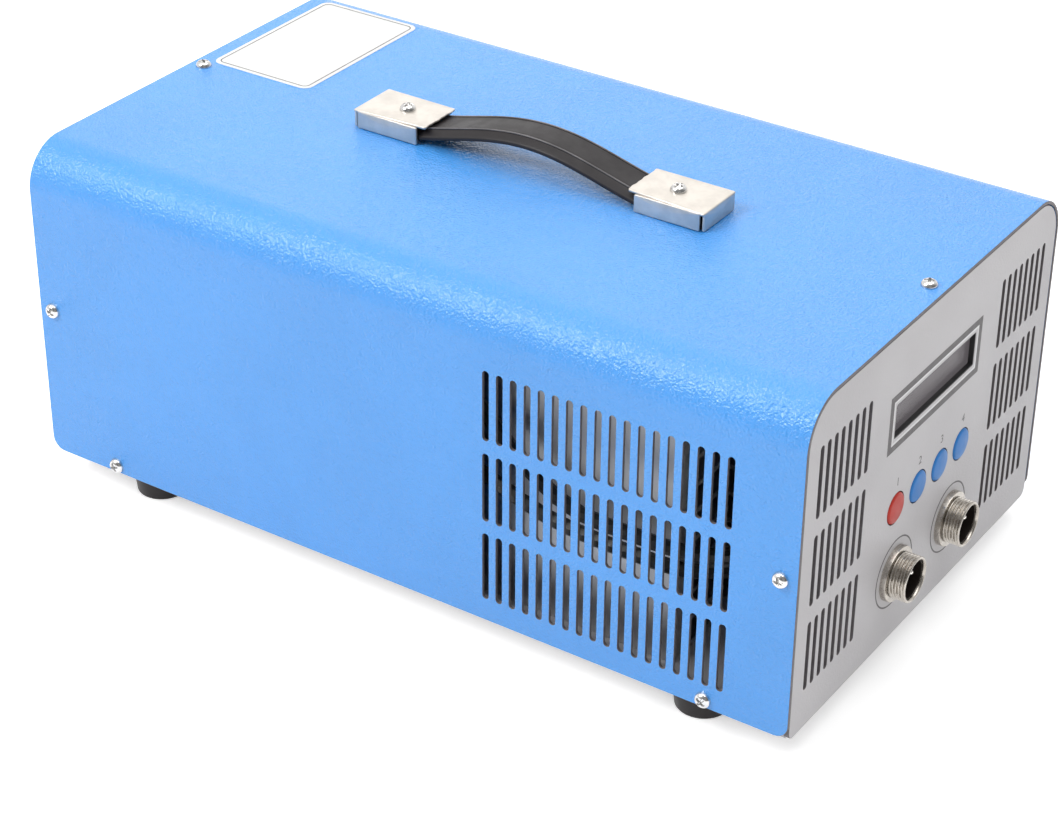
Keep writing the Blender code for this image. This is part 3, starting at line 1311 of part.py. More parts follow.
clear_scene()
BLUE_COAT = look("blue_coat", (0.115, 0.34, 0.80), 0.42)
GREY_COAT = look("grey_coat", (0.56, 0.55, 0.56), 0.45)
BARE_STEEL = look("bare_steel", (0.55, 0.55, 0.56), 0.35, 1.0)
CHROME = look("chrome", (0.80, 0.80, 0.80), 0.18, 1.0)
NICKEL = look("nickel", (0.72, 0.69, 0.64), 0.28, 1.0)
BARE_ALUMINIUM = look("bare_aluminium", (0.66, 0.66, 0.67), 0.45, 1.0)
BLACK_RUBBER = look("black_rubber", (0.025, 0.024, 0.024), 0.65)
BLACK_PLASTIC = look("black_plastic", (0.02, 0.02, 0.02), 0.5)
DARK_PLASTIC = look("dark_plastic", (0.05, 0.045, 0.045), 0.45)
SMOKED_LENS = look("smoked_lens", (0.10, 0.09, 0.10), 0.12)
BOARD_GREEN = look("board_green", (0.02, 0.16, 0.07), 0.4)
RED_CAP = look("red_cap", (0.60, 0.05, 0.035), 0.35)
BLUE_CAP = look("blue_cap", (0.06, 0.26, 0.60), 0.35)
GREY_SLEEVE = look("grey_sleeve", (0.35, 0.35, 0.36), 0.6)
CLEAR_GLASS = look("clear_glass", (0.75, 0.78, 0.78), 0.08)

CASE = frame("case_frame", at=(0, 0, FOOT_H))
FRONT = frame("front_face", CASE, (0, -PANEL_OUT, 0), (math.pi / 2, 0, 0))
REAR = frame("rear_face", CASE, (0, PANEL_OUT, 0), (math.pi / 2, 0, math.pi))
TOP = frame("top_face", CASE, (0, 0, CASE_H))

screw_holes = screw_paths()
make_cover(screw_holes)
make_tray(screw_holes)
make_front_panel(screw_holes)
make_rear_panel(screw_holes)
make_screws()
make_feet()
make_handle()
make_display()
make_sockets()
make_fan()
make_inlet()
make_sinks()
make_boards()
make_leads()
make_ribbon()
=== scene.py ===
# %% [markdown]
# # A battery capacity tester, dressed for the camera
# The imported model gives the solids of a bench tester: a vented blue case with a grey front, push
# buttons, two threaded sockets, a strap handle and rubber feet. This lesson keeps their places and
# builds the visible pieces again with rounded edges, threads, screw recesses and real finishes.
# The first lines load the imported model. It is a fixed frame: nothing in it is moved.

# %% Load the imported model
import math

import bpy
import numpy as np
from mathutils import Matrix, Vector
from mathutils.geometry import delaunay_2d_cdt


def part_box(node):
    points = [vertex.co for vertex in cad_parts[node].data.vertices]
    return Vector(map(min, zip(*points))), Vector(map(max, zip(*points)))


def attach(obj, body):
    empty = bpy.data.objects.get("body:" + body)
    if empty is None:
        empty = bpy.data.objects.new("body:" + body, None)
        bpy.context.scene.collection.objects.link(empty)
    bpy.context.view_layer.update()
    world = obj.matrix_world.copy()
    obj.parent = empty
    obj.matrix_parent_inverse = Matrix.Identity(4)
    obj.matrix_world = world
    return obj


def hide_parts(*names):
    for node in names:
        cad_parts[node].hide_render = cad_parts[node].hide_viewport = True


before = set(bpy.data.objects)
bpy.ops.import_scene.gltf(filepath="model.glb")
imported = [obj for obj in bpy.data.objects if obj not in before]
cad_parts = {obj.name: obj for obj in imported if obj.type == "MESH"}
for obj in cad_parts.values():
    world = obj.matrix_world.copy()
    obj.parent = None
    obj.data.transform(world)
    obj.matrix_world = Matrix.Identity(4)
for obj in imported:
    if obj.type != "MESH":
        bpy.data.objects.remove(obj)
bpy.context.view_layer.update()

# %% [markdown]
# ## Sizes that many pieces share
# All lengths are in metres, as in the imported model. The case is a folded cover over a tray, and
# the panels close its two ends. Heights on the case are counted from the case's underside, so a
# foot's height is added when a point goes into the scene.

# %% Shared sizes
CASE_W, CASE_L, CASE_H = 0.173, 0.300, 0.120
FOOT_H = 0.009
COVER_SHEET, COVER_R, COVER_LIFT = 0.0012, 0.016, 0.0016
FIT = 0.0003
PANEL_OUT = CASE_L / 2 - 0.0002
PANEL_SHEET = 0.0015
PANEL_W = CASE_W - 2 * COVER_SHEET - 2 * FIT
PANEL_TOP = CASE_H - COVER_SHEET - FIT
PANEL_R = COVER_R - COVER_SHEET - FIT
TOP_Z = FOOT_H + CASE_H
SCREW_HOLE_R, SCREW_UP, TRAY_SCREW_UP = 0.0018, 0.0594, 0.0046
SCREW_YS = (-(PANEL_OUT - 0.0057), PANEL_OUT - 0.0057)
TRAY_SCREW_Y = PANEL_OUT - 0.0298
HANDLE_Y = 0.0538


def on_front(across, up, out):
    """A point of the front panel's face, counted across, up and out of it, as a point of the scene."""
    return np.stack([across, -PANEL_OUT - out, FOOT_H + up], -1)


def on_rear(across, up, out):
    """The same for the rear panel. Seen from behind, across runs the other way."""
    return np.stack([-across, PANEL_OUT + out, FOOT_H + up], -1)


def on_top(across, along, out):
    """A point over the case's flat top."""
    return np.stack([across, along, TOP_Z + out], -1)


# %% [markdown]
# ## Camera
# The photograph was taken with a long lens from the front left corner, well above the case. The
# camera's place and its small roll were worked out from edges measured in the photograph. A camera
# looks along its own -Z, so its matrix has the right, up and backward directions as columns. Lamps
# are set up by the same helper later on.


# %% Camera
def aim_by(thing, right, up, backward, spot):
    """Set a camera's or lamp's matrix: three unit directions as columns, and its place."""
    columns = np.stack([right, up, backward], 1)
    thing.matrix_world = Matrix([[*row, e] for row, e in zip(columns, spot)] + [[0, 0, 0, 1]])


AZIMUTH, ELEVATION, ROLL = math.radians(-56.541), math.radians(31.266), math.radians(0.5508)
EYE = (-0.67885, -0.44549, 0.52784)
flat_part = math.cos(ELEVATION)
backward = np.array([math.sin(AZIMUTH) * flat_part, -math.cos(AZIMUTH) * flat_part, math.sin(ELEVATION)])
level = np.array([math.cos(AZIMUTH), math.sin(AZIMUTH), 0.0])
upright = np.cross(backward, level)
right = math.cos(ROLL) * level + math.sin(ROLL) * upright
up = math.cos(ROLL) * upright - math.sin(ROLL) * level
lens = bpy.data.cameras.new("camera")
lens.lens, lens.sensor_width = 92.10, 36.0
lens.clip_start, lens.clip_end = 0.05, 20.0
camera = bpy.data.objects.new("camera", lens)
bpy.context.scene.collection.objects.link(camera)
aim_by(camera, right, up, backward, EYE)
bpy.context.scene.camera = camera
bpy.context.scene.view_settings.view_transform = "Standard"
print("camera stands", round(math.dist(EYE, (0, 0, 0.06)), 3), "m from the middle of the case")

# %% [markdown]
# ## From formulas to meshes
# Every new piece is one or more closed skins. A skin is a grid of points worked out by a formula,
# and the quads between them. These helpers number the quads, close seams and poles, turn each skin
# outwards, and put the skins of one piece into one mesh.


# %% Grids and skins
def grid_quads(rows, columns, wrap_rows=False, wrap_columns=False):
    """Corner numbers of a grid's quads: a point, the next in its row, and those two in the next row."""
    down, across = rows - (not wrap_rows), columns - (not wrap_columns)
    r, c = np.meshgrid(np.arange(down), np.arange(across), indexing="ij")
    r2, c2 = (r + 1) % rows, (c + 1) % columns
    corners = [r * columns + c, r * columns + c2, r2 * columns + c2, r2 * columns + c]
    return np.stack(corners, -1).reshape(-1, 4)


def skin(points, wrap_rows=False, wrap_columns=True):
    """A grid of points, rows by columns by 3, as a flat list of points and its quads."""
    rows, columns = points.shape[:2]
    return points.reshape(-1, 3), grid_quads(rows, columns, wrap_rows, wrap_columns)


def volume(points, quads):
    """Six times the volume inside a closed skin: the sum of its triangles' triple products."""
    a, b, c, d = (points[quads[:, k]] for k in range(4))
    return float(np.einsum("ij,ij->", a, np.cross(b, c) + np.cross(c, d)))


def welded(points, quads):
    """Make points that coincide one point, and sort the faces into quads and triangles."""
    cells = np.round(points / 2e-7).astype(np.int64)
    _, first, back = np.unique(cells, axis=0, return_index=True, return_inverse=True)
    quads = back.reshape(-1)[quads]
    kept = quads != np.roll(quads, -1, axis=1)
    count = kept.sum(1)
    three = quads[count == 3]
    return points[first], quads[count == 4].tolist() + three[kept[count == 3]].reshape(-1, 3).tolist()


def make(name, skins, finishes, body="case", replaces=(), slot=None, sharp=38):
    """Put closed skins into one object. Each skin may be a triple whose last item numbers its finish."""
    points, faces, numbers, start = [], [], [], 0
    for item in skins:
        where, quads = item[0], item[1]
        if volume(where, quads) < 0:
            quads = quads[:, ::-1]
        where, listed = welded(where, quads)
        points.append(where)
        faces += [[start + i for i in face] for face in listed]
        numbers += [item[2] if len(item) > 2 else 0] * len(listed)
        start += len(where)
    mesh = bpy.data.meshes.new(name)
    mesh.from_pydata(np.concatenate(points).tolist(), [], faces)
    for finish in finishes if isinstance(finishes, (list, tuple)) else [finishes]:
        mesh.materials.append(finish)
    mesh.polygons.foreach_set("material_index", numbers)
    mesh.shade_smooth()
    mesh.set_sharp_from_angle(angle=math.radians(sharp))
    place_piece(mesh, body, replaces, slot)


def place_piece(mesh, body, replaces, slot):
    """Link the mesh's object at the origin, let it ride on its body, and hide the nodes it stands for."""
    piece = bpy.data.objects.new(mesh.name, mesh)
    bpy.context.scene.collection.objects.link(piece)
    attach(piece, body)
    for node in [replaces] if isinstance(replaces, str) else replaces:
        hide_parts(node)


# %% [markdown]
# ## Turned and swept forms
# Buttons, feet, flanges and pins are turned: a profile of radius and height goes round an axis.
# Wires, leads and rims are swept: a section goes along a path. Both are grids of points.


# %% Turned and swept forms
def around(steps):
    """Angles of a full turn, without the last, which would repeat the first."""
    return np.linspace(0.0, math.tau, steps, endpoint=False)


def turned(profile, steps=48, centre=(0.0, 0.0), where=None):
    """A turned skin. A profile point (radius, height) gives the ring centre + radius * (cos, sin)."""
    profile, a = np.asarray(profile, float), around(steps)
    r, h = profile[:, :1], profile[:, 1:] + 0 * a
    u, v = centre[0] + r * np.cos(a), centre[1] + r * np.sin(a)
    return skin(where(u, v, h) if where else np.stack([u, v, h], -1))


def rounded(corners, radius, steps=3):
    """A profile with each inner corner cut back by the radius and rounded by a quadratic curve."""
    corners = np.asarray(corners, float)
    t = np.linspace(0, 1, steps + 1)[:, None]
    points = [corners[:1]]
    for before, corner, after in zip(corners[:-2], corners[1:-1], corners[2:]):
        reach = min(radius, 0.45 * math.dist(before, corner), 0.45 * math.dist(corner, after))
        a = corner + (before - corner) / math.dist(before, corner) * reach
        b = corner + (after - corner) / math.dist(after, corner) * reach
        points.append((1 - t) ** 2 * a + 2 * t * (1 - t) * corner + t ** 2 * b)
    return np.concatenate(points + [corners[-1:]])


def tube(path, radius, sides=12, closed=False):
    """A round bar along a path: at each point, a circle in the plane square to the path's direction."""
    path = np.asarray(path, float)
    ahead = (np.roll(path, -1, 0) - np.roll(path, 1, 0)) if closed else np.gradient(path, axis=0)
    ahead /= np.linalg.norm(ahead, axis=1, keepdims=True)
    level = np.cross(ahead, [0.31, 0.17, 0.94])
    level /= np.linalg.norm(level, axis=1, keepdims=True)
    high = np.cross(level, ahead)
    a = around(sides)[None, :, None]
    grid = path[:, None] + radius * (level[:, None] * np.cos(a) + high[:, None] * np.sin(a))
    if not closed:
        grid = np.concatenate([np.repeat(path[:1, None], sides, 1), grid,
                               np.repeat(path[-1:, None], sides, 1)])
    return skin(grid, wrap_rows=closed)


def slab(outline, low, high, edge, where, steps=3):
    """A plate with a convex outline (points, outward directions), its edges rounded at both faces."""
    base, out = outline
    q = np.linspace(0, math.pi / 2, steps + 1)
    inset = np.concatenate([edge * (1 - np.sin(q)), edge * (1 - np.cos(q))])
    depth = np.concatenate([high - edge * (1 - np.cos(q)), low + edge * (1 - np.sin(q))])
    ring = base[None] - out[None] * inset[:, None, None]
    middle = base.mean(0) + 0 * base[None]
    ring = np.concatenate([middle, ring, middle])
    depth = np.concatenate([[high], depth, [low]])[:, None] + 0 * ring[..., 0]
    return skin(where(ring[..., 0], ring[..., 1], depth))


# %% [markdown]
# ## Outlines
# An outline is a loop of points, each with the direction that points out of it. A slot, a hole and
# a panel's edge are all a rectangle with round corners: four arcs, with the straight sides between.


# %% Outlines
def box_outline(width, height, radius, centre=(0.0, 0.0), steps=4, stations=()):
    """A rectangle with round corners, anticlockwise from its lower right one, and its outward directions."""
    radii = radius if isinstance(radius, (tuple, list)) else [radius] * 4
    points, outs = [], []
    for k, (sx, sy) in enumerate([(1, -1), (1, 1), (-1, 1), (-1, -1)]):
        a = math.pi / 2 * (k - 1) + np.linspace(0, math.pi / 2, steps + 1)
        way = np.stack([np.cos(a), np.sin(a)], -1)
        corner = np.array([sx * (width / 2 - radii[k]), sy * (height / 2 - radii[k])])
        points.append(corner + radii[k] * way)
        outs.append(way)
        nxt = [(1, 1), (-1, 1), (-1, -1), (1, -1)][k]
        r = radii[(k + 1) % 4]
        goal = np.array([nxt[0] * (width / 2 - r), nxt[1] * (height / 2 - r)]) + r * way[-1]
        span = goal - points[-1][-1]
        if len(stations) and abs(span).max() > 0:
            axis = int(abs(span[1]) > abs(span[0]))
            inside = sorted(s for s in stations[axis]
                            if 1e-5 < (s - points[-1][-1][axis]) / span[axis] < 1 - 1e-5)
            inside = np.array(inside if span[axis] > 0 else inside[::-1])
            if len(inside):
                t = ((inside - points[-1][-1][axis]) / span[axis])[:, None]
                points.append(points[-1][-1] + span * t)
                outs.append(np.repeat(way[-1:], len(inside), 0))
    return np.concatenate(points) + np.asarray(centre), np.concatenate(outs)


def slot_outline(width, height, centre, steps=5):
    """An upright slot with half-round ends."""
    return box_outline(width, height, width / 2 * 0.999, centre, steps)


def ring_outline(radius, centre=(0.0, 0.0), steps=40):
    """A circle and its outward directions."""
    a = around(steps)
    way = np.stack([np.cos(a), np.sin(a)], -1)
    return np.asarray(centre) + radius * way, way


# %% [markdown]
# ## Sheet with holes
# Folded sheet metal is the heart of this case. The real sheet is punched flat and then folded, and
# it is made the same way here. Its outline and holes are triangulated in the flat, the two skins are
# joined by rings that round every edge as powder coat does, and a fold carries each flat point to
# its place. Normals are worked out from the formula too, so the large flats stay perfectly flat.


# %% Sheet with holes
HOLE_CRISP = 0.4


def holed_sheet(name, outline, holes, thickness, edge, fold, finishes, extra=None, **ride):
    """A sheet from a flat outline and its holes, carried into place by fold(u, v, out).

    Each loop gives rings from the front skin to the back: inset by edge * (1 - sin), down by
    edge * (1 - cos) at the front edge, then the same in reverse at the back edge. At a hole, edge is
    HOLE_CRISP times as large. A second finish, if there is one, goes on the cut walls: painted shade,
    a dark colour for the shade that lies on those walls.
    """
    q = np.linspace(0, math.pi / 2, 4)
    inset = edge * np.concatenate([1 - np.sin(q), 1 - np.sin(q[::-1])])
    drop = edge * np.concatenate([1 - np.cos(q), np.cos(q[::-1]) - 1])
    level = np.repeat([0.0, thickness], 4)
    lean = np.concatenate([np.sin(q), np.sin(q[::-1])])
    rise = np.concatenate([np.cos(q), -np.cos(q[::-1])])
    loops = [(*outline, 1)] + [(base, -way, -1) for base, way in holes]
    sizes = [len(base) for base, _, _ in loops]
    starts = np.concatenate([[0], np.cumsum(sizes)])
    base = np.concatenate([b for b, _, _ in loops])
    way = np.concatenate([w for _, w, _ in loops])
    spots, ties = extra if extra else (np.zeros((0, 2)), [])
    soft = np.repeat([1.0 if turn > 0 else HOLE_CRISP for _, _, turn in loops], sizes)
    flat = np.concatenate([base - way * soft[:, None] * inset[0], spots])
    edges = [(s + i, s + (i + 1) % n) for s, n in zip(starts, sizes) for i in range(n)]
    _, _, triangles, origin, _, _ = delaunay_2d_cdt(flat.tolist(), edges + list(ties), [], 0, 1e-7)
    first = np.array([ids[0] if ids else -1 for ids in origin])
    triangles = first[np.array(triangles)]
    owner = np.repeat(np.arange(len(loops) + 1), sizes + [len(spots)])[triangles]
    one_loop = (owner == owner[:, :1]).all(1)
    in_hole = one_loop & (owner[:, 0] > 0) & (owner[:, 0] < len(loops))
    triangles = triangles[~in_hole & (triangles >= 0).all(1)]
    count, rings, total = len(base), len(inset), len(flat)
    under = np.ones(len(spots))
    uv = [flat] + [base - way * soft[:, None] * i for i in inset[1:]] + [spots]
    depth = [np.zeros(total)] + [-a - soft * d for a, d in zip(level[1:], drop[1:])] + [-thickness * under]
    side = [np.concatenate([way * lean[0], 0 * spots])] + [way * k for k in lean[1:]] + [0 * spots]
    face = [np.full(total, rise[0])] + [np.full(count, k) for k in rise[1:]] + [-under]
    uv, depth, side, face = (np.concatenate(part) for part in (uv, depth, side, face))
    last = total + count * (rings - 2)
    back = np.where(triangles < count, triangles + last, triangles - count + last + count)
    strips, walls = [], []
    for k in range(rings - 1):
        a = 0 if k == 0 else total + count * (k - 1)
        b = total + count * k
        for (_, _, turn), s, n in zip(loops, starts, sizes):
            i = s + np.arange(n)
            j = s + (np.arange(n) + 1) % n
            quad = np.stack([a + i, b + i, b + j, a + j], -1)
            strips.append(quad if turn > 0 else quad[:, ::-1])
            walls.append(np.full(n, k > 0))
    points = fold(uv[:, 0], uv[:, 1], depth)
    step = 1e-5
    ahead = uv + side * step
    normals = (fold(ahead[:, 0], ahead[:, 1], depth + face * step) - points) / step
    normals /= np.linalg.norm(normals, axis=1, keepdims=True)
    faces = triangles.tolist() + back[:, ::-1].tolist() + np.concatenate(strips).tolist()
    mesh = bpy.data.meshes.new(name)
    mesh.from_pydata(points.tolist(), [], faces)
    finishes = finishes if isinstance(finishes, (list, tuple)) else [finishes]
    for finish in finishes:
        mesh.materials.append(finish)
    # Cut walls take the last finish: on the cover and the front face, that is the painted shade.
    on_wall = np.concatenate([np.zeros(2 * len(triangles), bool), *walls])
    mesh.polygons.foreach_set("material_index", on_wall.astype(np.int32) * (len(finishes) - 1))
    mesh.shade_smooth()
    mesh.normals_split_custom_set_from_vertices(normals.tolist())
    print(name, "-", len(holes), "holes,", len(mesh.polygons), "faces")
    place_piece(mesh, **ride)


# %% [markdown]
# ## Shader groups
# Several finishes share an effect: the pebbled skin of powder coat, a slow drift in shade, the lines
# left by rolling or brushing, the grain of moulded plastic, and dust on what faces up. Each effect is
# one node group with named inputs, so every material sets its own size and amount. A group only puts
# out values that change over the surface. The Principled shader stays in the material.


# %% Helpers for nodes
def add(tree, kind, feeds=(), **settings):
    """Add a node, set its properties, and fill or link its sockets."""
    node = tree.nodes.new("ShaderNode" + kind)
    for key, value in settings.items():
        setattr(node, key, value)
    for socket, value in dict(feeds).items():
        if isinstance(value, bpy.types.NodeSocket):
            tree.links.new(value, node.inputs[socket])
        else:
            node.inputs[socket].default_value = value
    return node


def calc(tree, operation, *values):
    """A Math node's result."""
    return add(tree, "Math", dict(enumerate(values)), operation=operation).outputs[0]


def ramp(tree, value, low, high, to_low=0.0, to_high=1.0):
    """A value moved smoothly from the range low to high into another range, and held at its ends."""
    feeds = {"Value": value, "From Min": low, "From Max": high, "To Min": to_low, "To Max": to_high}
    return add(tree, "MapRange", feeds, interpolation_type="SMOOTHSTEP").outputs[0]


def mix(tree, share, first, second):
    """A colour between two colours."""
    return add(tree, "Mix", {0: share, 6: first, 7: second}, data_type="RGBA").outputs[2]


def new_group(name, inputs, outputs):
    """An empty node group: inputs are (name, kind, value), outputs are names of values."""
    tree = bpy.data.node_groups.new(name, "ShaderNodeTree")
    for label, kind, value in inputs:
        socket = tree.interface.new_socket(label, in_out="INPUT", socket_type="NodeSocket" + kind)
        if value is not None:
            socket.default_value = value
    for label in outputs:
        tree.interface.new_socket(label, in_out="OUTPUT", socket_type="NodeSocketFloat")
    return tree, tree.nodes.new("NodeGroupInput").outputs, tree.nodes.new("NodeGroupOutput").inputs


# %% Pebbled powder coat: two sizes of soft bumps
powder_skin, given, result = new_group(
    "powder_skin", [("Where", "Vector", None), ("Pebble", "Float", 1400.0)], ["Height"])
small = add(powder_skin, "TexNoise", {"Vector": given["Where"], "Scale": given["Pebble"], "Detail": 1.0})
wide_scale = calc(powder_skin, "MULTIPLY", given["Pebble"], 0.3)
broad = add(powder_skin, "TexNoise", {"Vector": given["Where"], "Scale": wide_scale, "Detail": 0.0})
height = calc(powder_skin, "MULTIPLY_ADD", small.outputs["Fac"], 0.75,
              calc(powder_skin, "MULTIPLY", broad.outputs["Fac"], 0.25))
powder_skin.links.new(height, result["Height"])

# %% Slow drift: a cloudy value between two limits
slow_drift, given, result = new_group(
    "slow_drift",
    [("Where", "Vector", None), ("Scale", "Float", 12.0), ("Low", "Float", 0.0), ("High", "Float", 1.0)],
    ["Value"])
cloud = add(slow_drift, "TexNoise",
            {"Vector": given["Where"], "Scale": given["Scale"], "Detail": 3.0, "Roughness": 0.6})
slow_drift.links.new(ramp(slow_drift, cloud.outputs["Fac"], 0.32, 0.68, given["Low"], given["High"]),
                     result["Value"])

# %% Drawn lines: noise stretched along the way the metal was rolled
drawn_lines, given, result = new_group(
    "drawn_lines",
    [("Where", "Vector", None), ("Stretch", "Vector", (1.0, 0.03, 1.0)), ("Scale", "Float", 3000.0)],
    ["Height"])
pulled = add(drawn_lines, "VectorMath", {0: given["Where"], 1: given["Stretch"]}, operation="MULTIPLY")
lines = add(drawn_lines, "TexNoise",
            {"Vector": pulled.outputs[0], "Scale": given["Scale"], "Detail": 3.0, "Roughness": 0.7})
drawn_lines.links.new(lines.outputs["Fac"], result["Height"])

# %% Moulded grain: fine cells with softened borders
moulded_grain, given, result = new_group(
    "moulded_grain", [("Where", "Vector", None), ("Scale", "Float", 2200.0)], ["Height"])
cells = add(moulded_grain, "TexVoronoi", {"Vector": given["Where"], "Scale": given["Scale"]},
            feature="SMOOTH_F1")
fine = add(moulded_grain, "TexNoise", {"Vector": given["Where"], "Scale": given["Scale"], "Detail": 2.0})
grain = calc(moulded_grain, "MULTIPLY_ADD", fine.outputs["Fac"], 0.5, cells.outputs["Distance"])
moulded_grain.links.new(grain, result["Height"])

# %% Settled dust: patches on what faces up
settled_dust, given, result = new_group(
    "settled_dust", [("Where", "Vector", None), ("Amount", "Float", 0.1)], ["Mask"])
facing = add(settled_dust, "NewGeometry")
level_up = add(settled_dust, "SeparateXYZ", {0: facing.outputs["Normal"]})
patch = add(settled_dust, "TexNoise",
            {"Vector": given["Where"], "Scale": 260.0, "Detail": 6.0, "Roughness": 0.75})
facing_up = ramp(settled_dust, level_up.outputs["Z"], 0.2, 0.95)
lying = calc(settled_dust, "MULTIPLY", facing_up, ramp(settled_dust, patch.outputs["Fac"], 0.45, 0.8))
settled_dust.links.new(calc(settled_dust, "MULTIPLY", lying, given["Amount"]), result["Mask"])


# %% [markdown]
# ## Finishes
# One function makes the common kind: a colour that drifts a little, a roughness that drifts a little,
# and a bump from one of the groups. Its numbers say what differs from finish to finish. Constant
# numbers such as metalness are set on the shader's own sockets.


# %% One recipe for most finishes
def finish(name, colour, rough, bump=None, tone=0.06, tone_scale=14.0, dust=0.0, metal=0.0, **sockets):
    """A material: colour times 1 +- tone, roughness between two limits, and a bump.

    The bump is a group, its settings, a strength and a depth. Sockets set the shader's own constants.
    """
    material = bpy.data.materials.new(name)
    material.use_nodes = True
    tree = material.node_tree
    shader = tree.nodes["Principled BSDF"]
    where = add(tree, "TexCoord").outputs["Object"]

    def use(group, **feeds):
        node = tree.nodes.new("ShaderNodeGroup")
        node.node_tree = group
        tree.links.new(where, node.inputs["Where"])
        for key, value in feeds.items():
            node.inputs[key].default_value = value
        return node.outputs[0]

    low, high = (tuple(min(1.0, c * (1 + k * tone)) for c in colour) + (1.0,) for k in (-1, 1))
    shown = mix(tree, use(slow_drift, Scale=tone_scale), low, high)
    if dust:
        shown = mix(tree, use(settled_dust, Amount=dust), shown, (0.55, 0.54, 0.52, 1.0))
    tree.links.new(shown, shader.inputs["Base Color"])
    tree.links.new(use(slow_drift, Scale=tone_scale * 2.7, Low=rough[0], High=rough[1]),
                   shader.inputs["Roughness"])
    shader.inputs["Metallic"].default_value = metal
    for key, value in sockets.items():
        shader.inputs[key.replace("_", " ")].default_value = value
    if bump:
        group, settings, strength, depth = bump
        node = add(tree, "Bump",
                   {"Height": use(group, **settings), "Strength": strength, "Distance": depth})
        tree.links.new(node.outputs[0], shader.inputs["Normal"])
    return material


# %% Painted sheet
blue_coat = finish("blue_coat", (0.068, 0.336, 0.84), (0.16, 0.21),
                   (powder_skin, {"Pebble": 1250.0}, 1.0, 0.00056), tone=0.03, dust=0.03,
                   Specular_IOR_Level=0.70)
grey_coat = finish("grey_coat", (0.60, 0.585, 0.60), (0.42, 0.52),
                   (powder_skin, {"Pebble": 1600.0}, 0.6, 0.00020), tone=0.025, dust=0.03)

# Painted shade: a dark grey for the cut walls of slots, holes and sheet edges, which stands in for the shade
# on them.
painted_shade_wall = finish("painted_shade_wall", (0.17, 0.155, 0.16), (0.45, 0.6), (drawn_lines, {}, 0.3, 0.00004), tone=0.1,
                  tone_scale=200.0)

# %% Metals
nickel = finish("nickel", (0.72, 0.68, 0.635), (0.22, 0.34), (drawn_lines, {}, 0.2, 0.00002), metal=1.0,
                tone=0.06, tone_scale=90.0)
cap_nickel = finish("cap_nickel", (0.66, 0.615, 0.56), (0.28, 0.42), (drawn_lines, {}, 0.35, 0.00003),
                    metal=0.7, tone=0.06, tone_scale=160.0)
# A darker copy of the nickel for the socket shells: the lower colour paints the dim reflections they show.
reflection_dimmed_nickel = finish("reflection_dimmed_nickel", (0.50, 0.465, 0.42), (0.2, 0.32), (drawn_lines, {}, 0.2, 0.00002),
                     metal=1.0, tone=0.12, tone_scale=160.0)
chrome = finish("chrome", (0.72, 0.71, 0.70), (0.12, 0.2), (slow_drift, {"Scale": 500.0}, 0.08, 0.00002),
                metal=1.0, tone=0.04, tone_scale=200.0)
bare_steel = finish("bare_steel", (0.56, 0.56, 0.57), (0.34, 0.48), (drawn_lines, {}, 0.3, 0.00004),
                    metal=1.0, tone=0.08, tone_scale=60.0)
bare_aluminium = finish("bare_aluminium", (0.66, 0.66, 0.67), (0.38, 0.5),
                        (drawn_lines, {"Stretch": (1.0, 0.02, 1.0)}, 0.35, 0.00005), metal=1.0)

# %% Rubber and plastics
black_rubber = finish("black_rubber", (0.022, 0.019, 0.020), (0.40, 0.50),
                      (moulded_grain, {}, 0.35, 0.00004), tone=0.12, tone_scale=60.0, dust=0.012,
                      Specular_IOR_Level=0.27)
# Painted highlight: a lighter rubber for the strap's raised lines stands in for the light they catch.
ridge_painted_highlight = finish("ridge_painted_highlight", (0.13, 0.12, 0.12), (0.35, 0.45), tone=0.35, tone_scale=60.0)
black_plastic = finish("black_plastic", (0.022, 0.022, 0.023), (0.36, 0.46),
                       (moulded_grain, {"Scale": 2800.0}, 0.25, 0.00004), tone=0.1, dust=0.02)
dark_plastic = finish("dark_plastic", (0.05, 0.045, 0.045), (0.4, 0.5), (moulded_grain, {}, 0.2, 0.00004),
                      tone=0.1)
red_cap = finish("red_cap", (0.54, 0.045, 0.032), (0.3, 0.4),
                 (moulded_grain, {"Scale": 3200.0}, 0.15, 0.00003), tone=0.06, tone_scale=120.0,
                 Specular_IOR_Level=0.2)
blue_cap = finish("blue_cap", (0.035, 0.215, 0.60), (0.3, 0.4),
                  (moulded_grain, {"Scale": 3200.0}, 0.15, 0.00003), tone=0.06, tone_scale=120.0,
                  Specular_IOR_Level=0.2)
black_sleeve = finish("black_sleeve", (0.02, 0.02, 0.02), (0.32, 0.42),
                      (slow_drift, {"Scale": 400.0}, 0.1, 0.00005), tone=0.1)
grey_sleeve = finish("grey_sleeve", (0.35, 0.35, 0.36), (0.5, 0.6),
                     (drawn_lines, {"Stretch": (1.0, 0.0, 0.0), "Scale": 800.0}, 0.6, 0.0002))
board_green = finish("board_green", (0.02, 0.16, 0.07), (0.3, 0.42),
                     (slow_drift, {"Scale": 900.0}, 0.2, 0.00005), tone=0.25, tone_scale=300.0)
print("finishes:", sorted(m.name for m in bpy.data.materials))

# %% [markdown]
# ## The blue cover
# The cover is one sheet folded to an arch: up the left side, over, and down the right side, with
# 16 mm corners. A flat point (s, y) has s measured along the outer face from the left foot. The fold
# carries it to the arch, and depth is counted inwards along the face's own normal. Fold lines are
# put in the flat sheet across both bends, so that each bend is smooth.

# %% The cover's fold
RISE = CASE_H - COVER_R - COVER_LIFT
BEND = COVER_R * math.pi / 2
FLAT_TOP = CASE_W - 2 * COVER_R
COVER_S = 2 * RISE + 2 * BEND + FLAT_TOP
BEND_STEPS = 12


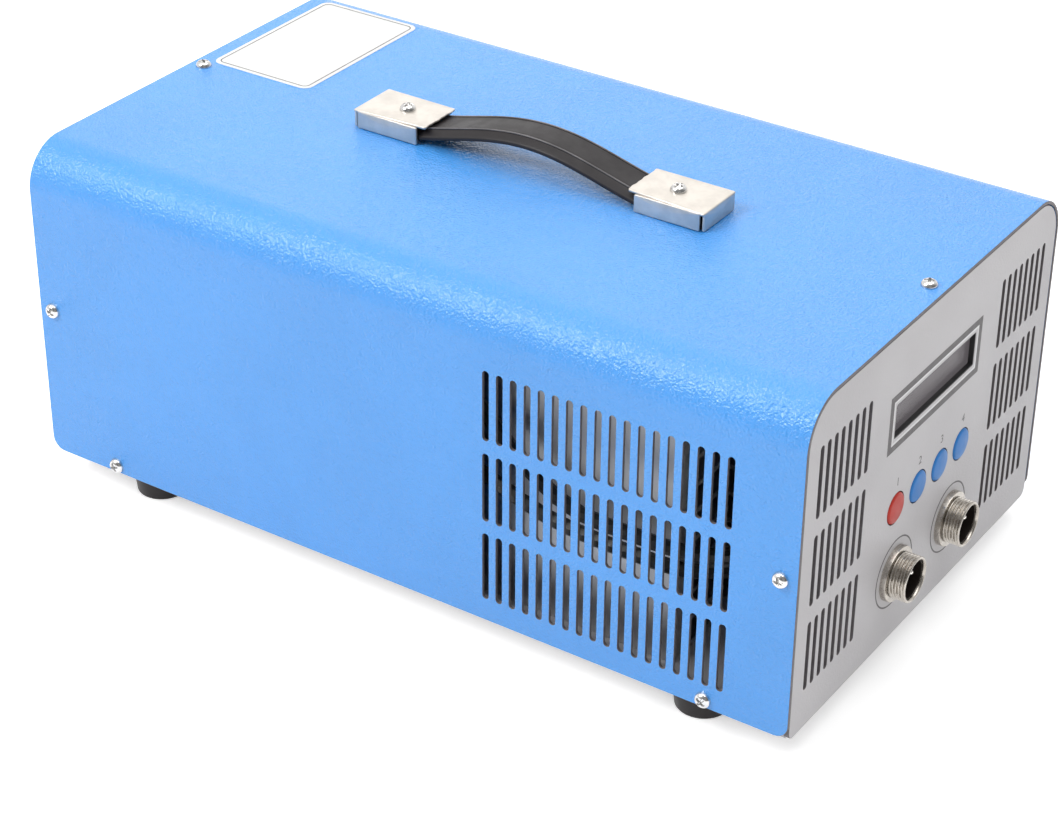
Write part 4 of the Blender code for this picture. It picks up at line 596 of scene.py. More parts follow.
def fold_cover(s, y, out):
    """Flat (s, y, out) to the arch: in a bend, the turn is (s - start) / radius, the reach radius + out."""
    first = np.clip((s - RISE) / COVER_R, 0, math.pi / 2)
    second = np.clip((s - RISE - BEND - FLAT_TOP) / COVER_R, 0, math.pi / 2)
    turn = math.pi - first - second
    across = np.where(s > COVER_S / 2, 1.0, -1.0) * (CASE_W / 2 - COVER_R)
    across = np.where((s > RISE + BEND) & (s < COVER_S - RISE - BEND), s - COVER_S / 2, across)
    height = np.minimum(np.minimum(s, COVER_S - s), RISE) + COVER_LIFT
    return np.stack([across + (COVER_R + out) * np.cos(turn), y,
                     FOOT_H + height + (COVER_R + out) * np.sin(turn)], -1)


# %% The cover's vents and screw holes
SIDE_PITCH, SIDE_SLOT_W, SIDE_GAP = 0.005156, 0.0024, 0.00483
SIDE_HEAD, SIDE_FOOT, SIDE_FIRST = 0.0243, 0.01014, 0.02455
side_slot_h = (CASE_H - SIDE_HEAD - SIDE_FOOT - 2 * SIDE_GAP) / 3
slot_ys = -CASE_L / 2 + SIDE_FIRST + SIDE_PITCH * np.arange(18)
slot_zs = SIDE_FOOT + side_slot_h / 2 + (side_slot_h + SIDE_GAP) * np.arange(3)

cover_holes = []
side_screws = [(y, SCREW_UP) for y in SCREW_YS] + [(side * TRAY_SCREW_Y, TRAY_SCREW_UP) for side in (-1, 1)]
for near in (False, True):
    for z in slot_zs:
        s = z - COVER_LIFT if near else COVER_S - (z - COVER_LIFT)
        cover_holes += [box_outline(side_slot_h, SIDE_SLOT_W, SIDE_SLOT_W / 2 * 0.999, (s, y), 5)
                        for y in slot_ys]
    for y, z in side_screws:
        s = z - COVER_LIFT if near else COVER_S - (z - COVER_LIFT)
        cover_holes.append(ring_outline(SCREW_HOLE_R, (s, y), 16))
top_screws = (*SCREW_YS, -HANDLE_Y, HANDLE_Y)
cover_holes += [ring_outline(SCREW_HOLE_R, (COVER_S / 2, y), 16) for y in top_screws]

# %% The cover's fold lines, and the sheet
bend_starts = (RISE, RISE + BEND + FLAT_TOP)
bends = np.concatenate([start + BEND * np.linspace(0, 1, BEND_STEPS + 1) for start in bend_starts])
rows = np.linspace(-CASE_L / 2, CASE_L / 2, 17)[1:-1]
cover_edge = box_outline(COVER_S, CASE_L, 0.005, (0, 0), 6, (bends - COVER_S / 2, rows))
cover_edge = (cover_edge[0] + [COVER_S / 2, 0], cover_edge[1])
spots = np.stack(np.meshgrid(bends, rows, indexing="ij"), -1).reshape(-1, 2)
first_spot = len(cover_edge[0]) + sum(len(base) for base, _ in cover_holes)
ties = []
for i, s in enumerate(bends):
    line = first_spot + i * len(rows) + np.arange(len(rows))
    ties += zip(line[:-1].tolist(), line[1:].tolist())
    for end, j in ((-1, 0), (1, -1)):
        k = int(np.argmin(np.abs(cover_edge[0] - [s, end * CASE_L / 2]).sum(1)))
        ties.append((int(line[j]), k))
# The cover's slot walls, screw holes and cut edges take the painted shade.
holed_sheet("blue_cover", cover_edge, cover_holes, COVER_SHEET, 0.00035, fold_cover,
            (blue_coat, painted_shade_wall), (spots, ties), body="case", replaces="cover", slot="blue_coat")

# %% [markdown]
# ## The front and rear panels
# Each panel is a shallow pan: a flat face whose edge folds back into a rim. The face is a sheet with
# holes again, held flat, and the rim is a section swept round the panel's outline. The front has a
# block of narrow slots at each side, the display window, four button holes and two socket holes.

# %% Panel outline and rim
panel_edge = box_outline(PANEL_W, PANEL_TOP, (0.003, PANEL_R, PANEL_R, 0.003), (0, PANEL_TOP / 2), 10)


def rim_skin(where):
    """The folded rim: an outline that starts over the tray's walls, swept back 13.5 mm, 1.2 mm thick."""
    foot, head = 0.0104, PANEL_TOP - 0.0002
    radii = (0.0028, PANEL_R, PANEL_R, 0.0028)
    base, way = box_outline(PANEL_W - 0.0004, head - foot, radii, (0, (head + foot) / 2), 10)
    section = np.array([(0.0, -0.0010), (0.0, -0.0133), (0.0002, -0.0135),
                        (0.0010, -0.0135), (0.0012, -0.0133), (0.0012, -0.0010)])
    ring = base[None] - way[None] * section[:, :1, None]
    return skin(where(ring[..., 0], ring[..., 1], section[:, 1:] + 0 * ring[..., 0]), wrap_rows=True)


# %% Front panel
WINDOW_X, WINDOW_Z, WINDOW_W, WINDOW_H = -0.0004, PANEL_TOP - 0.032, 0.0552, 0.0122
SOCKET_X, SOCKET_Z = 0.0193, 0.026
BUTTON_D, BUTTON_XS = 0.0115, -0.0221 + 0.0154 * np.arange(4)
button_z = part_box("button_red")[0].z / 2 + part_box("button_red")[1].z / 2 - FOOT_H
FRONT_SLOT_W, FRONT_PITCH, FRONT_GAP = 0.0022, 0.00433, 0.0061
FRONT_HEAD, FRONT_FOOT, FRONT_INSET, FRONT_SHIFT = 0.0153, 0.0151, 0.00859, -0.0002
front_slot_h = (PANEL_TOP - FRONT_HEAD - FRONT_FOOT - 2 * FRONT_GAP) / 3


def front_slot(side, i, j):
    """One slot of the front: i counts from the panel's side inwards, j from the lowest row up."""
    across = side * (PANEL_W / 2 - FRONT_INSET - FRONT_PITCH * i) + FRONT_SHIFT
    up = FRONT_FOOT + front_slot_h / 2 + (front_slot_h + FRONT_GAP) * j
    return slot_outline(FRONT_SLOT_W, front_slot_h, (across, up))


front_holes = [front_slot(side, i, j) for side in (-1, 1) for i in range(8) for j in range(3)]
front_holes.append(box_outline(WINDOW_W, WINDOW_H, 0.0006, (WINDOW_X, WINDOW_Z), 4))
front_holes += [ring_outline(BUTTON_D / 2, (x, button_z), 48) for x in BUTTON_XS]
front_holes += [ring_outline(0.0083, (side * SOCKET_X, SOCKET_Z), 40) for side in (-1, 1)]
# The front face's slot, window and hole walls take the painted shade.
holed_sheet("front_face", panel_edge, front_holes, PANEL_SHEET, 0.0003, on_front, (grey_coat, painted_shade_wall),
            body="case", replaces="front_panel", slot="grey_coat")
make("front_rim", [rim_skin(on_front)], grey_coat, replaces="front_panel", slot="grey_coat")

# %% Rear panel
FAN_X, FAN_Z = -0.038, (0.0015 + CASE_H - COVER_SHEET) / 2
INLET_X, INLET_Z, DATA_X, DATA_Z = 0.052, 0.066, 0.052, 0.024
FAN_HOLES = [(sx * 0.03575, sy * 0.03575) for sx in (-1, 1) for sy in (-1, 1)]
rear_holes = [ring_outline(0.038, (-FAN_X, FAN_Z), 72)]
rear_holes += [ring_outline(SCREW_HOLE_R, (x - FAN_X, y + FAN_Z), 16) for x, y in FAN_HOLES]
rear_holes += [box_outline(0.0276, 0.0476, 0.0015, (-INLET_X, INLET_Z)),
               ring_outline(0.0063, (-DATA_X, DATA_Z), 32)]
holed_sheet("rear_face", panel_edge, rear_holes, PANEL_SHEET, 0.0003, on_rear, grey_coat,
            body="case", replaces="rear_panel", slot="grey_coat")
make("rear_rim", [rim_skin(on_rear)], grey_coat, replaces="rear_panel", slot="grey_coat")

# %% [markdown]
# ## Print on the front panel
# A dark frame with a pale line inside it surrounds the window, and a thin ring surrounds each socket.
# They are ink, so each is a very thin raised band between two outlines with the same number of
# points. The words that such a panel carries are left out, and their places are bare.

# %% Printed bands
ink_dark = finish("ink_dark", (0.105, 0.096, 0.10), (0.42, 0.55),
                  (powder_skin, {"Pebble": 2000.0}, 0.3, 0.00006), tone=0.06, tone_scale=200.0)
ink_pale = finish("ink_pale", (0.80, 0.79, 0.80), (0.4, 0.5),
                  (powder_skin, {"Pebble": 2000.0}, 0.3, 0.00006), tone=0.02)


def band(outer, inner, low, high, where):
    """A flat ring between two outlines: up the outer wall, across the top, down the inner wall."""
    ring = np.stack([outer[0], outer[0], inner[0], inner[0]])
    height = np.array([low, high, high, low])[:, None] + 0 * ring[..., 0]
    return skin(where(ring[..., 0], ring[..., 1], height), wrap_rows=True)


def window_box(inset):
    """The window frame's rectangle, drawn in by an inset."""
    return box_outline(FRAME_W - 2 * inset, FRAME_H - 2 * inset, 0.0002, FRAME_AT, 2)


def socket_ring(side):
    """The thin printed ring round one socket."""
    spot = (side * SOCKET_X + 0.0003, SOCKET_Z)
    return band(ring_outline(0.0126, spot, 96), ring_outline(0.01205, spot, 96), -INK, INK, on_front)


INK = 0.00003
FRAME_W, FRAME_H, FRAME_AT = 0.0636, 0.02085, (-0.0003, 0.0864)
make("window_frame_print", [band(window_box(0.0), window_box(0.0024), -INK, INK, on_front)], ink_dark,
     slot="dark_plastic")
make("window_line_print", [band(window_box(0.0024), window_box(0.0032), -INK, INK, on_front)], ink_pale,
     slot="grey_coat")
make("socket_ring_print", [socket_ring(side) for side in (-1, 1)], ink_dark, slot="dark_plastic")

# %% [markdown]
# ## Display
# Behind the window is a liquid crystal module: a black bezel, and a grey glass that sits back from
# the panel. A smoked lens lies between. It is made see-through with Alpha, which keeps the glass below
# readable. Black plastic on the window's cut walls is painted shade: it makes the window's right and
# lower walls, seen from this side, black like the shade of that recess. A faint glow on the glass is
# painted light that lifts the shade deep in the window.

# %% Display module, painted shade on the window walls, and lens
# The glass's faint emission is painted light: the module is not lit, and the glow lifts the shade on the
# glass deep in the window.
lcd_glass_painted_glow = finish("lcd_glass_painted_glow", (0.15, 0.136, 0.145), (0.45, 0.55),
                   (slow_drift, {"Scale": 60.0}, 0.02, 0.0002), tone=0.05, tone_scale=30.0,
                   Emission_Color=(1.0, 0.92, 0.98, 1.0), Emission_Strength=0.115)
lens_look = finish("smoked_lens", (0.05, 0.045, 0.05), (0.03, 0.05), tone=0.05, Alpha=0.15,
                   Specular_IOR_Level=0.3)
DISPLAY_FRONT, DISPLAY_BACK = -0.0031, -0.0101
WINDOW = (WINDOW_X, WINDOW_Z)
bezel = slab(box_outline(0.072, 0.026, 0.001, WINDOW), DISPLAY_BACK, DISPLAY_FRONT - 0.0004, 0.0004,
             on_front)
glass = slab(box_outline(0.0615, 0.0164, 0.0005, WINDOW), DISPLAY_FRONT - 0.001, DISPLAY_FRONT, 0.0003,
             on_front)
make("display_module_body", [(*bezel, 0), (*glass, 1)], [dark_plastic, lcd_glass_painted_glow],
     replaces="display_module", slot="dark_plastic")
# Painted shade: black plastic on the window's cut walls makes them as dark as the shade of the recess.
painted_shade_liner = band(box_outline(WINDOW_W, WINDOW_H, 0.0006, WINDOW),
             box_outline(WINDOW_W - 0.0006, WINDOW_H - 0.0006, 0.0004, WINDOW), -0.00178, -0.0001, on_front)
make("window_painted_shade_liner", [painted_shade_liner], black_plastic, slot="black_plastic")
lens_plate = slab(box_outline(0.060, 0.0170, 0.0008, WINDOW), -0.0028, -0.0018, 0.0001, on_front, 1)
make("display_lens_plate", [lens_plate], lens_look, replaces="display_lens", slot="smoked_lens")

# %% [markdown]
# ## Push buttons
# Each cap is turned: a crowned face, a soft edge, a skirt and a stem that reaches its switch. The
# crown is a parabola, height = top - drop * (r / R) squared. Each rides on its own body.

# %% Buttons
R = BUTTON_D / 2 - 0.00025
CAP_OUT, CROWN_DROP, CAP_EDGE, STEM_R = 0.0008, 0.0004, 0.0010, 0.0021
r = np.linspace(0, R - CAP_EDGE, 7)
crown = np.stack([r, CAP_OUT - CROWN_DROP * (r / R) ** 2], -1)[::-1]
a = np.linspace(0, math.pi / 2, 6)
rim = np.stack([R - CAP_EDGE + CAP_EDGE * np.cos(a), crown[0, 1] - CAP_EDGE + CAP_EDGE * np.sin(a)], -1)
stem = [(0, -0.0078), (STEM_R, -0.0078), (STEM_R, -0.0032), (R - 0.0003, -0.0032), (R, -0.0029)]
cap_profile = np.concatenate([stem, rim, crown[1:]])
for x, node in zip(BUTTON_XS, ("button_red", "button_blue_1", "button_blue_2", "button_blue_3")):
    look, slot = (red_cap, "red_cap") if node == "button_red" else (blue_cap, "blue_cap")
    make(node.replace("button", "cap"), [turned(cap_profile, 56, (x, button_z), on_front)], look,
         body=node, replaces=node, slot=slot)
print("button caps stand", round(1000 * cap_profile[:, 1].max(), 2), "mm out of the panel")

# %% [markdown]
# ## Threaded sockets
# A socket is a turned shell whose radius also changes with the angle. On the thread, the radius dips
# by depth * (1 - cos(2 pi * (height / pitch - angle / turn))) / 2, which is a helix. In the bore, it
# narrows over a few degrees, which makes the key. The dark insert and its bright pins stand inside.


# %% Socket shell
def key_angles(size):
    """Angles round the bore with extra ones at the key's sides, and a mark for those inside the key."""
    a = np.sort(np.concatenate([around(84), size["key_angle"] + np.radians([-9, -7.5, 7.5, 9])]))
    return a, np.abs(a - size["key_angle"]) < math.radians(8)


def lining_skin(size, centre, where):
    """A dark skin inside the bore, 0.15 mm thick, that follows the key: painted shade for the deep bore."""
    a, in_key = key_angles(size)
    low, high = -0.0006, size["out"] - 0.0013
    rows = np.array([(0, low), (0, high), (-0.00015, high), (-0.00015, low)])
    r = size["bore"] + rows[:, :1] - size["key"] * in_key
    return skin(where(centre[0] + r * np.cos(a), centre[1] + r * np.sin(a), rows[:, 1:] + 0 * a),
                wrap_rows=True)


def shell_skin(size, centre, where):
    """Bore, lip, thread, flange and tail of one socket as a closed ring of profiles."""
    a, in_key = key_angles(size)
    names = ("thread", "bore", "flange", "seat", "out", "tail", "pitch")
    rt, rb, rf, seat, out, tail, pitch = (size[name] for name in names)
    start, end = out - 0.0004, seat + 0.0002
    steps = int((start - end) / pitch * 9)
    thread = np.stack([np.full(steps, rt - 0.0001), np.linspace(start, end, steps)], -1)
    inner = [(rb, -tail), (rb, -0.0004), (rb, out - 0.0012), (rb, out - 0.0010),
             (rb + 0.0002, out - 0.00015), (rb + 0.0004, out), (rt - 0.0005, out),
             (rt - 0.0001, out - 0.00035)]
    outer = [(rt - 0.0007, end - 0.00002), (rt - 0.0007, seat), (rf - 0.0003, seat),
             (rf - 0.00008, seat - 0.00008), (rf, seat - 0.0003), (rf, 0.0), (rt, 0.0), (rt, -tail)]
    rows = np.concatenate([inner, thread, outer])
    r, h = np.repeat(rows[:, :1], len(a), 1), np.repeat(rows[:, 1:], len(a), 1)
    cut = slice(len(inner), len(inner) + len(thread))
    fade = np.clip(np.minimum(start - h[cut], h[cut] - end) / (0.5 * pitch), 0, 1)
    wave = 0.5 - 0.5 * np.cos(math.tau * (h[cut] / pitch - a / math.tau))
    r[cut] -= size["depth"] * fade * wave ** 1.3
    r[1:3] -= size["key"] * in_key
    return skin(where(centre[0] + r * np.cos(a), centre[1] + r * np.sin(a), h), wrap_rows=True)


pin_metal = finish("pin_metal", (0.86, 0.83, 0.78), (0.12, 0.2), metal=1.0, tone=0.04, tone_scale=400.0)
socket_black = finish("socket_black", (0.016, 0.012, 0.010), (0.3, 0.4), (moulded_grain, {}, 0.2, 0.00003),
                      tone=0.1)


def socket(name, size, centre, where, pins):
    """A socket's shell, and its insert with pins: each pin is turned, with a rounded tip."""
    # The dark skin in the bore is painted shade; the insert is black plastic in its own right.
    skins = [(*shell_skin(size, centre, where), 0), (*lining_skin(size, centre, where), 1)]
    make(name + "_thread", skins, [reflection_dimmed_nickel, socket_black], replaces=name + "_shell", slot="nickel",
         sharp=50)
    rb, face, tip, pin = size["bore"] - 0.0002, size["face"], size["tip"], size["pin"]
    body = [(0, -size["tail"] + 0.002), (rb, -size["tail"] + 0.002), (rb, face - 0.0003),
            (rb - 0.0003, face), (0, face)]
    skins = [(*turned(body, 48, centre, where), 0)]
    a = np.linspace(0, math.pi / 2, 5)
    rod = [(0, -size["tail"] - 0.002), (pin, -size["tail"] - 0.002),
           *zip(pin * np.cos(a), tip - pin + pin * np.sin(a))]
    for x, y in pins:
        skins.append((*turned(rod, 20, (centre[0] + x, centre[1] + y), where), 1))
        boss = [(0, face - 0.0002), (pin * 1.9, face - 0.0002), (pin * 1.7, face + 0.0006),
                (0, face + 0.0006)]
        skins.append((*turned(boss, 20, (centre[0] + x, centre[1] + y), where), 0))
    make(name + "_pins", skins, [socket_black, pin_metal], replaces=name + "_insert", slot="dark_plastic")


# %% Two sockets on the front, a smaller one on the rear
large = dict(thread=0.008, bore=0.0068, flange=0.0096, seat=0.0021, out=0.008, tail=0.012,
             pitch=0.00104, depth=0.00055,
             key=0.0011, key_angle=math.pi + 0.2, face=-0.0005, tip=0.0054, pin=0.001)
small = dict(thread=0.006, bore=0.0049, flange=0.0075, seat=0.0018, out=0.008, tail=0.010,
             pitch=0.001, depth=0.0005,
             key=0.0008, key_angle=math.pi, face=-0.0005, tip=0.0030, pin=0.0005)
for side, name in ((-1, "socket_left"), (1, "socket_right")):
    socket(name, large, (side * SOCKET_X, SOCKET_Z), on_front, [(-0.0033, 0), (0.0033, 0)])
socket("socket_data", small, (-DATA_X, DATA_Z), on_rear,
       [(0.0028 * math.cos(t), 0.0028 * math.sin(t)) for t in around(4)])

# %% [markdown]
# ## Screws
# Pan-head screws with a cross recess. Over a round grid, the head's height is
# H * sqrt(1 - (r / R) ** 2.6), less the recess: two crossed troughs with soft walls, deepest in the
# middle. Each screw is turned by its own angle, as real ones end up.


# %% Screw heads
HEAD_R, SHANK_R = 0.00285, 0.0015


def head_skin(size, height, turn, length):
    """A head with a cross recess, and its shank below, as a grid of (u, v, out)."""
    share = np.concatenate([np.linspace(0, 0.62, 18), np.linspace(0.66, 1, 10)])[:, None]
    a = around(64)[None]
    u, v = size * share * np.cos(a), size * share * np.sin(a)
    arm = 0.00038 * size / HEAD_R
    reach = 0.62 * size

    def trough(along, across):
        walls = np.clip((arm - np.abs(across)) / (0.35 * arm) + 0.5, 0, 1)
        return walls * np.clip((reach - np.abs(along)) / (0.3 * reach), 0, 1)

    dip = np.maximum(trough(u, v), trough(v, u))
    top = height * np.sqrt(np.clip(1 - share ** 2.6, 0, 1)) - 0.6 * height * dip
    c, s = math.cos(turn), math.sin(turn)
    u, v = c * u - s * v, s * u + c * v
    low = [(size, -0.0001), (SHANK_R, -0.0001), (SHANK_R, -length), (0.0, -length)]
    rows = [np.stack([q * np.cos(a), q * np.sin(a), h + 0 * a], -1) for q, h in low]
    return np.concatenate([np.stack([u, v, top + 0 * a], -1), *rows])


def screw(node, centre, where, turn, length=0.006, height=0.0021):
    """One screw, standing on a face at a centre."""
    grid = head_skin(HEAD_R, height, turn, length)
    points = where(centre[0] + grid[..., 0], centre[1] + grid[..., 1], grid[..., 2])
    make(node + "_head", [skin(points)], chrome, replaces=node, slot="chrome")


def on_left(across, up, out):
    """A point of the case's left side, counted along the case, up and out."""
    return np.stack([-CASE_W / 2 - out, across, FOOT_H + up], -1)


def on_right(across, up, out):
    """A point of the case's right side."""
    return np.stack([CASE_W / 2 + out, across, FOOT_H + up], -1)


def on_cap(across, along, out):
    """A point over a handle cap's roof."""
    return on_top(across, along, out + CAP_H)


def on_guard_eye(across, up, out):
    """A point over the fan guard's wire eyes, which lie on the rear panel."""
    return on_rear(across, up, out + 0.0022)


# %% All the screws
CAP_H = 0.0068
turns = iter(0.37 + 1.13 * np.arange(20))
for end, y in zip(("front", "rear"), SCREW_YS):
    screw(f"screw_top_{end}", (0, y), on_top, next(turns))
    screw(f"screw_left_{end}", (y, SCREW_UP), on_left, next(turns))
    screw(f"screw_right_{end}", (y, SCREW_UP), on_right, next(turns))
    tray_y = math.copysign(TRAY_SCREW_Y, y)
    screw(f"screw_tray_left_{end}", (tray_y, TRAY_SCREW_UP), on_left, next(turns))
    screw(f"screw_tray_right_{end}", (tray_y, TRAY_SCREW_UP), on_right, next(turns))
    cap_y = math.copysign(HANDLE_Y, y)
    screw(f"handle_screw_{end}", (0, cap_y), on_cap, next(turns), 0.0115, 0.0022)
for i, (x, z) in enumerate(FAN_HOLES, 1):
    screw(f"fan_screw_{i}", (x - FAN_X, z + FAN_Z), on_guard_eye, next(turns), 0.0075)

# %% [markdown]
# ## Feet
# Four rubber feet, each turned: a slight taper, a rounded edge that grips the table, and the recess
# that hides its screw.

# %% Feet
foot_profile = rounded([(0, -0.0044), (0.0040, -0.0044), (0.00425, -FOOT_H), (0.0092, -FOOT_H),
                        (0.0100, -0.0010), (0.0100, 0.0), (0, 0.0)], 0.0009, 4)


def under_case(u, v, h):
    """A point of the case's underside, with h counted upwards."""
    return np.stack([u, v, FOOT_H + h], -1)


for sy, end in ((-1, "front"), (1, "rear")):
    for sx, side in ((-1, "left"), (1, "right")):
        node, spot = f"foot_{end}_{side}", (sx * (PANEL_W / 2 - 0.013), sy * (PANEL_OUT - 0.0378))
        make(node + "_rubber", [turned(foot_profile, 56, spot, under_case)], black_rubber,
             replaces=node, slot="black_rubber")

# %% [markdown]
# ## Carrying strap
# A moulded rubber strap with a flat top, bevelled sides and a raised line along each bevel. Its
# section is carried along an arch, height = rise * (1 + cos(pi * y / reach)) / 2, square to the
# arch's slope. The ends stay flat inside the caps.

# %% Strap
HALF, EDGE_T, BEVEL, STRAP_T, STRAP_RISE = 0.0089, 0.0013, 0.003, 0.0034, 0.00985
RIDGE_U, RIDGE_R = HALF - BEVEL - 0.0001, 0.00028


def bead(x, z, lean):
    """A small raised line on the section: half a wave, 0.8 mm wide."""
    t = np.linspace(-1, 1, 7)
    swell = 0.00012 * (1 + np.cos(math.pi * t)) / 2
    return np.stack([x + 0.0004 * t * lean[0], z + 0.0004 * t * lean[1] + swell], -1)


half_section = np.concatenate([
    rounded([(0.0, 0.0), (HALF, 0.0), (HALF, EDGE_T), (RIDGE_U + 0.0007, STRAP_T - 0.0004)], 0.0006, 4),
    bead(RIDGE_U, STRAP_T - 0.0002, (-0.98, 0.2)),
    np.stack([np.linspace(HALF - BEVEL - 0.0009, 0.0006, 6), np.full(6, STRAP_T)], -1)])
section = np.concatenate([half_section, half_section[::-1][:-1] * [-1, 1]])
y = np.linspace(-0.0674, 0.0674, 97)


def arch(y):
    """The strap's underside above the case."""
    return FIT / 3 + STRAP_RISE * (1 + np.cos(math.pi * np.minimum(np.abs(y) / 0.058, 1))) / 2


rise = np.gradient(arch(y), y)
run = np.sqrt(1 + rise ** 2)
u, v = section[None, :, 0], section[None, :, 1]
grid = on_top(u + 0 * y[:, None], y[:, None] - v * (rise / run)[:, None],
              arch(y)[:, None] + v / run[:, None])
ends = [np.repeat(grid[k].mean(0)[None, None], grid.shape[1], 1) for k in (0, -1)]
skins = [(*skin(np.concatenate([ends[0], grid, ends[1]])), 0)]
# The raised lines take the lighter rubber, a painted highlight.
for side in (-1, 1):
    ridge = on_top(side * RIDGE_U + 0 * y, y - STRAP_T * rise / run, arch(y) + (STRAP_T + 0.00005) / run)
    skins.append((*tube(ridge[8:-8], RIDGE_R, 8), 1))
make("strap", skins, [black_rubber, ridge_painted_highlight], replaces="handle_strap", slot="black_rubber", sharp=50)
print("strap rises", round(1000 * float(arch(y).max()), 1), "mm over the case")

# %% [markdown]
# ## Handle caps
# Each cap is cut from nickel-plated sheet and folded down on three sides, with a slit at each folded
# corner and a slightly wavy lip over the strap. It is built from four plates that meet inside the
# bends, each with rounded edges, so light breaks along them as it does along a real fold.

# %% Caps
CAP_W, SHEET = 0.0204, 0.001
LIP, TAIL, OVERHANG, LIFT, SLIT, NARROWING = -0.0137, 0.0156, 0.0031, 0.0006, 0.0017, 0.127


def cap_skins(flip):
    """Roof, two side flaps and an end flap of one cap, mirrored along the case where flip is -1."""
    def top(x, y, out):
        return on_top(x * flip, (y + HANDLE_Y) * flip, out)

    def wavy(x, y, out):
        near = np.clip((LIP + OVERHANG - y) / OVERHANG, 0, 1)
        wave = 0.0002 * np.sin(x * 1100) * np.cos(x * 410 + 0.6)
        return top(x * (1 - NARROWING * near), y + near * wave, out + LIFT * near)

    along_lip = (np.linspace(-0.009, 0.009, 25), [])
    roof = box_outline(CAP_W, TAIL - LIP, 0.0007, (0, (TAIL + LIP) / 2), 4, along_lip)
    skins = [slab(roof, CAP_H - SHEET, CAP_H, 0.00048, wavy, 4)]
    start, radii = LIP + OVERHANG, (0.0003, 0.0005, 0.0005, 0.0003)
    tall, mid_up = CAP_H - 0.0003 - FIT, (CAP_H - 0.0003 + FIT) / 2
    wall = box_outline(TAIL - SLIT - start, tall, radii, ((TAIL - SLIT + start) / 2, mid_up), 3)
    for side in (-1, 1):
        def beside(a, b, c):
            return top(side * c, a, b)

        skins.append(slab(wall, CAP_W / 2 - SHEET, CAP_W / 2, 0.00018, beside, 2))
    end = box_outline(CAP_W - 0.0014, tall, radii, (0, mid_up), 3)
    skins.append(slab(end, TAIL - SHEET, TAIL, 0.00018, lambda a, b, c: top(a, c, b), 2))
    return skins


for flip, name in ((1, "rear"), (-1, "front")):
    make(f"cap_{name}", cap_skins(flip), cap_nickel, replaces=f"handle_cap_{name}", slot="nickel", sharp=50)

# %% [markdown]
# ## Nodes that keep their own mesh
# The tray, boards, heat sinks, supply, nuts and leads already have the right shape. They only get a
# finish, by assigning it to their material slot. Most are seen through the vents.

# %% Finishes for carried nodes
carried = {
    "base_tray": grey_coat, "control_board": board_green, "power_board": board_green,
    "power_supply": bare_steel, "ribbon_cable": grey_sleeve,
    "heatsink_outer": bare_aluminium, "heatsink_inner": bare_aluminium,
    "mains_lead": black_sleeve, "output_lead_1": black_sleeve, "output_lead_2": black_sleeve,
    "socket_left_nut": nickel, "socket_right_nut": nickel, "socket_data_nut": nickel,
}
for node, look in carried.items():
    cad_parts[node].data.materials.clear()
    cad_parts[node].data.materials.append(look)

# %% [markdown]
# ## Fan
# An 80 mm fan is screwed to the inside of the rear panel. Its frame has a square flange at each end
# of a round throat, and four struts carry the motor's seat. The rotor is a cup with seven blades. A
# blade is a thin section whose angle, height and camber all grow with the share t along it, so it is
# one grid per blade. The rotor rides on its own body and can spin.

# %% Fan frame
FAN = np.array([-FAN_X, FAN_Z])
FAN_FACE, FAN_BACK, BORE_R, TUBE_R = -0.0018, -0.0268, 0.038, 0.0397


def on_fan(across, up, out):
    """A point counted from the fan's axis, on the rear panel."""
    return on_rear(FAN[0] + across, FAN[1] + up, out)


flange = box_outline(0.080, 0.080, 0.005, (0, 0), 8)
flange_holes = [ring_outline(BORE_R, (0, 0), 72)]
flange_holes += [ring_outline(SCREW_HOLE_R, spot, 16) for spot in FAN_HOLES]
for name, face in (("fan_frame_front", FAN_FACE), ("fan_frame_back", FAN_BACK + 0.0045)):
    def at_face(u, v, out):
        return on_fan(u, v, face + out)

    holed_sheet(name, flange, flange_holes, 0.0045, 0.0004, at_face, black_plastic,
                body="case", replaces="fan_frame", slot="black_plastic")
throat = [(TUBE_R, -0.006), (BORE_R, -0.006), (BORE_R, -0.0226), (TUBE_R, -0.0226), (TUBE_R, -0.006)]
hub = rounded([(0, -0.0018), (0.018, -0.0018), (0.018, -0.0053),
               (0.011, -0.0053), (0.011, -0.0158), (0, -0.0158)], 0.0006)
frame_skins = [turned(throat, 96, (0, 0), on_fan), turned(hub, 64, (0, 0), on_fan)]
for a in math.radians(20) + around(4):
    base, way = box_outline(0.0280, 0.0032, 0.0004, (0.0245, 0), 2)
    turn = np.array([[math.cos(a), math.sin(a)], [-math.sin(a), math.cos(a)]])
    frame_skins.append(slab((base @ turn, way @ turn), -0.0053, -0.0022, 0.0005, on_fan))
make("fan_frame_body", frame_skins, black_plastic, replaces="fan_frame", slot="black_plastic")

# %% Rotor
CUP_R, CUP_LOW, CUP_TOP = 0.018, -0.0238, -0.0060
cup = rounded([(0, CUP_LOW), (CUP_R, CUP_LOW), (CUP_R, CUP_TOP), (0.0155, CUP_TOP),
               (0.0155, -0.0213), (0.0015, -0.0213), (0.0015, -0.0038), (0, -0.0038)], 0.0008)


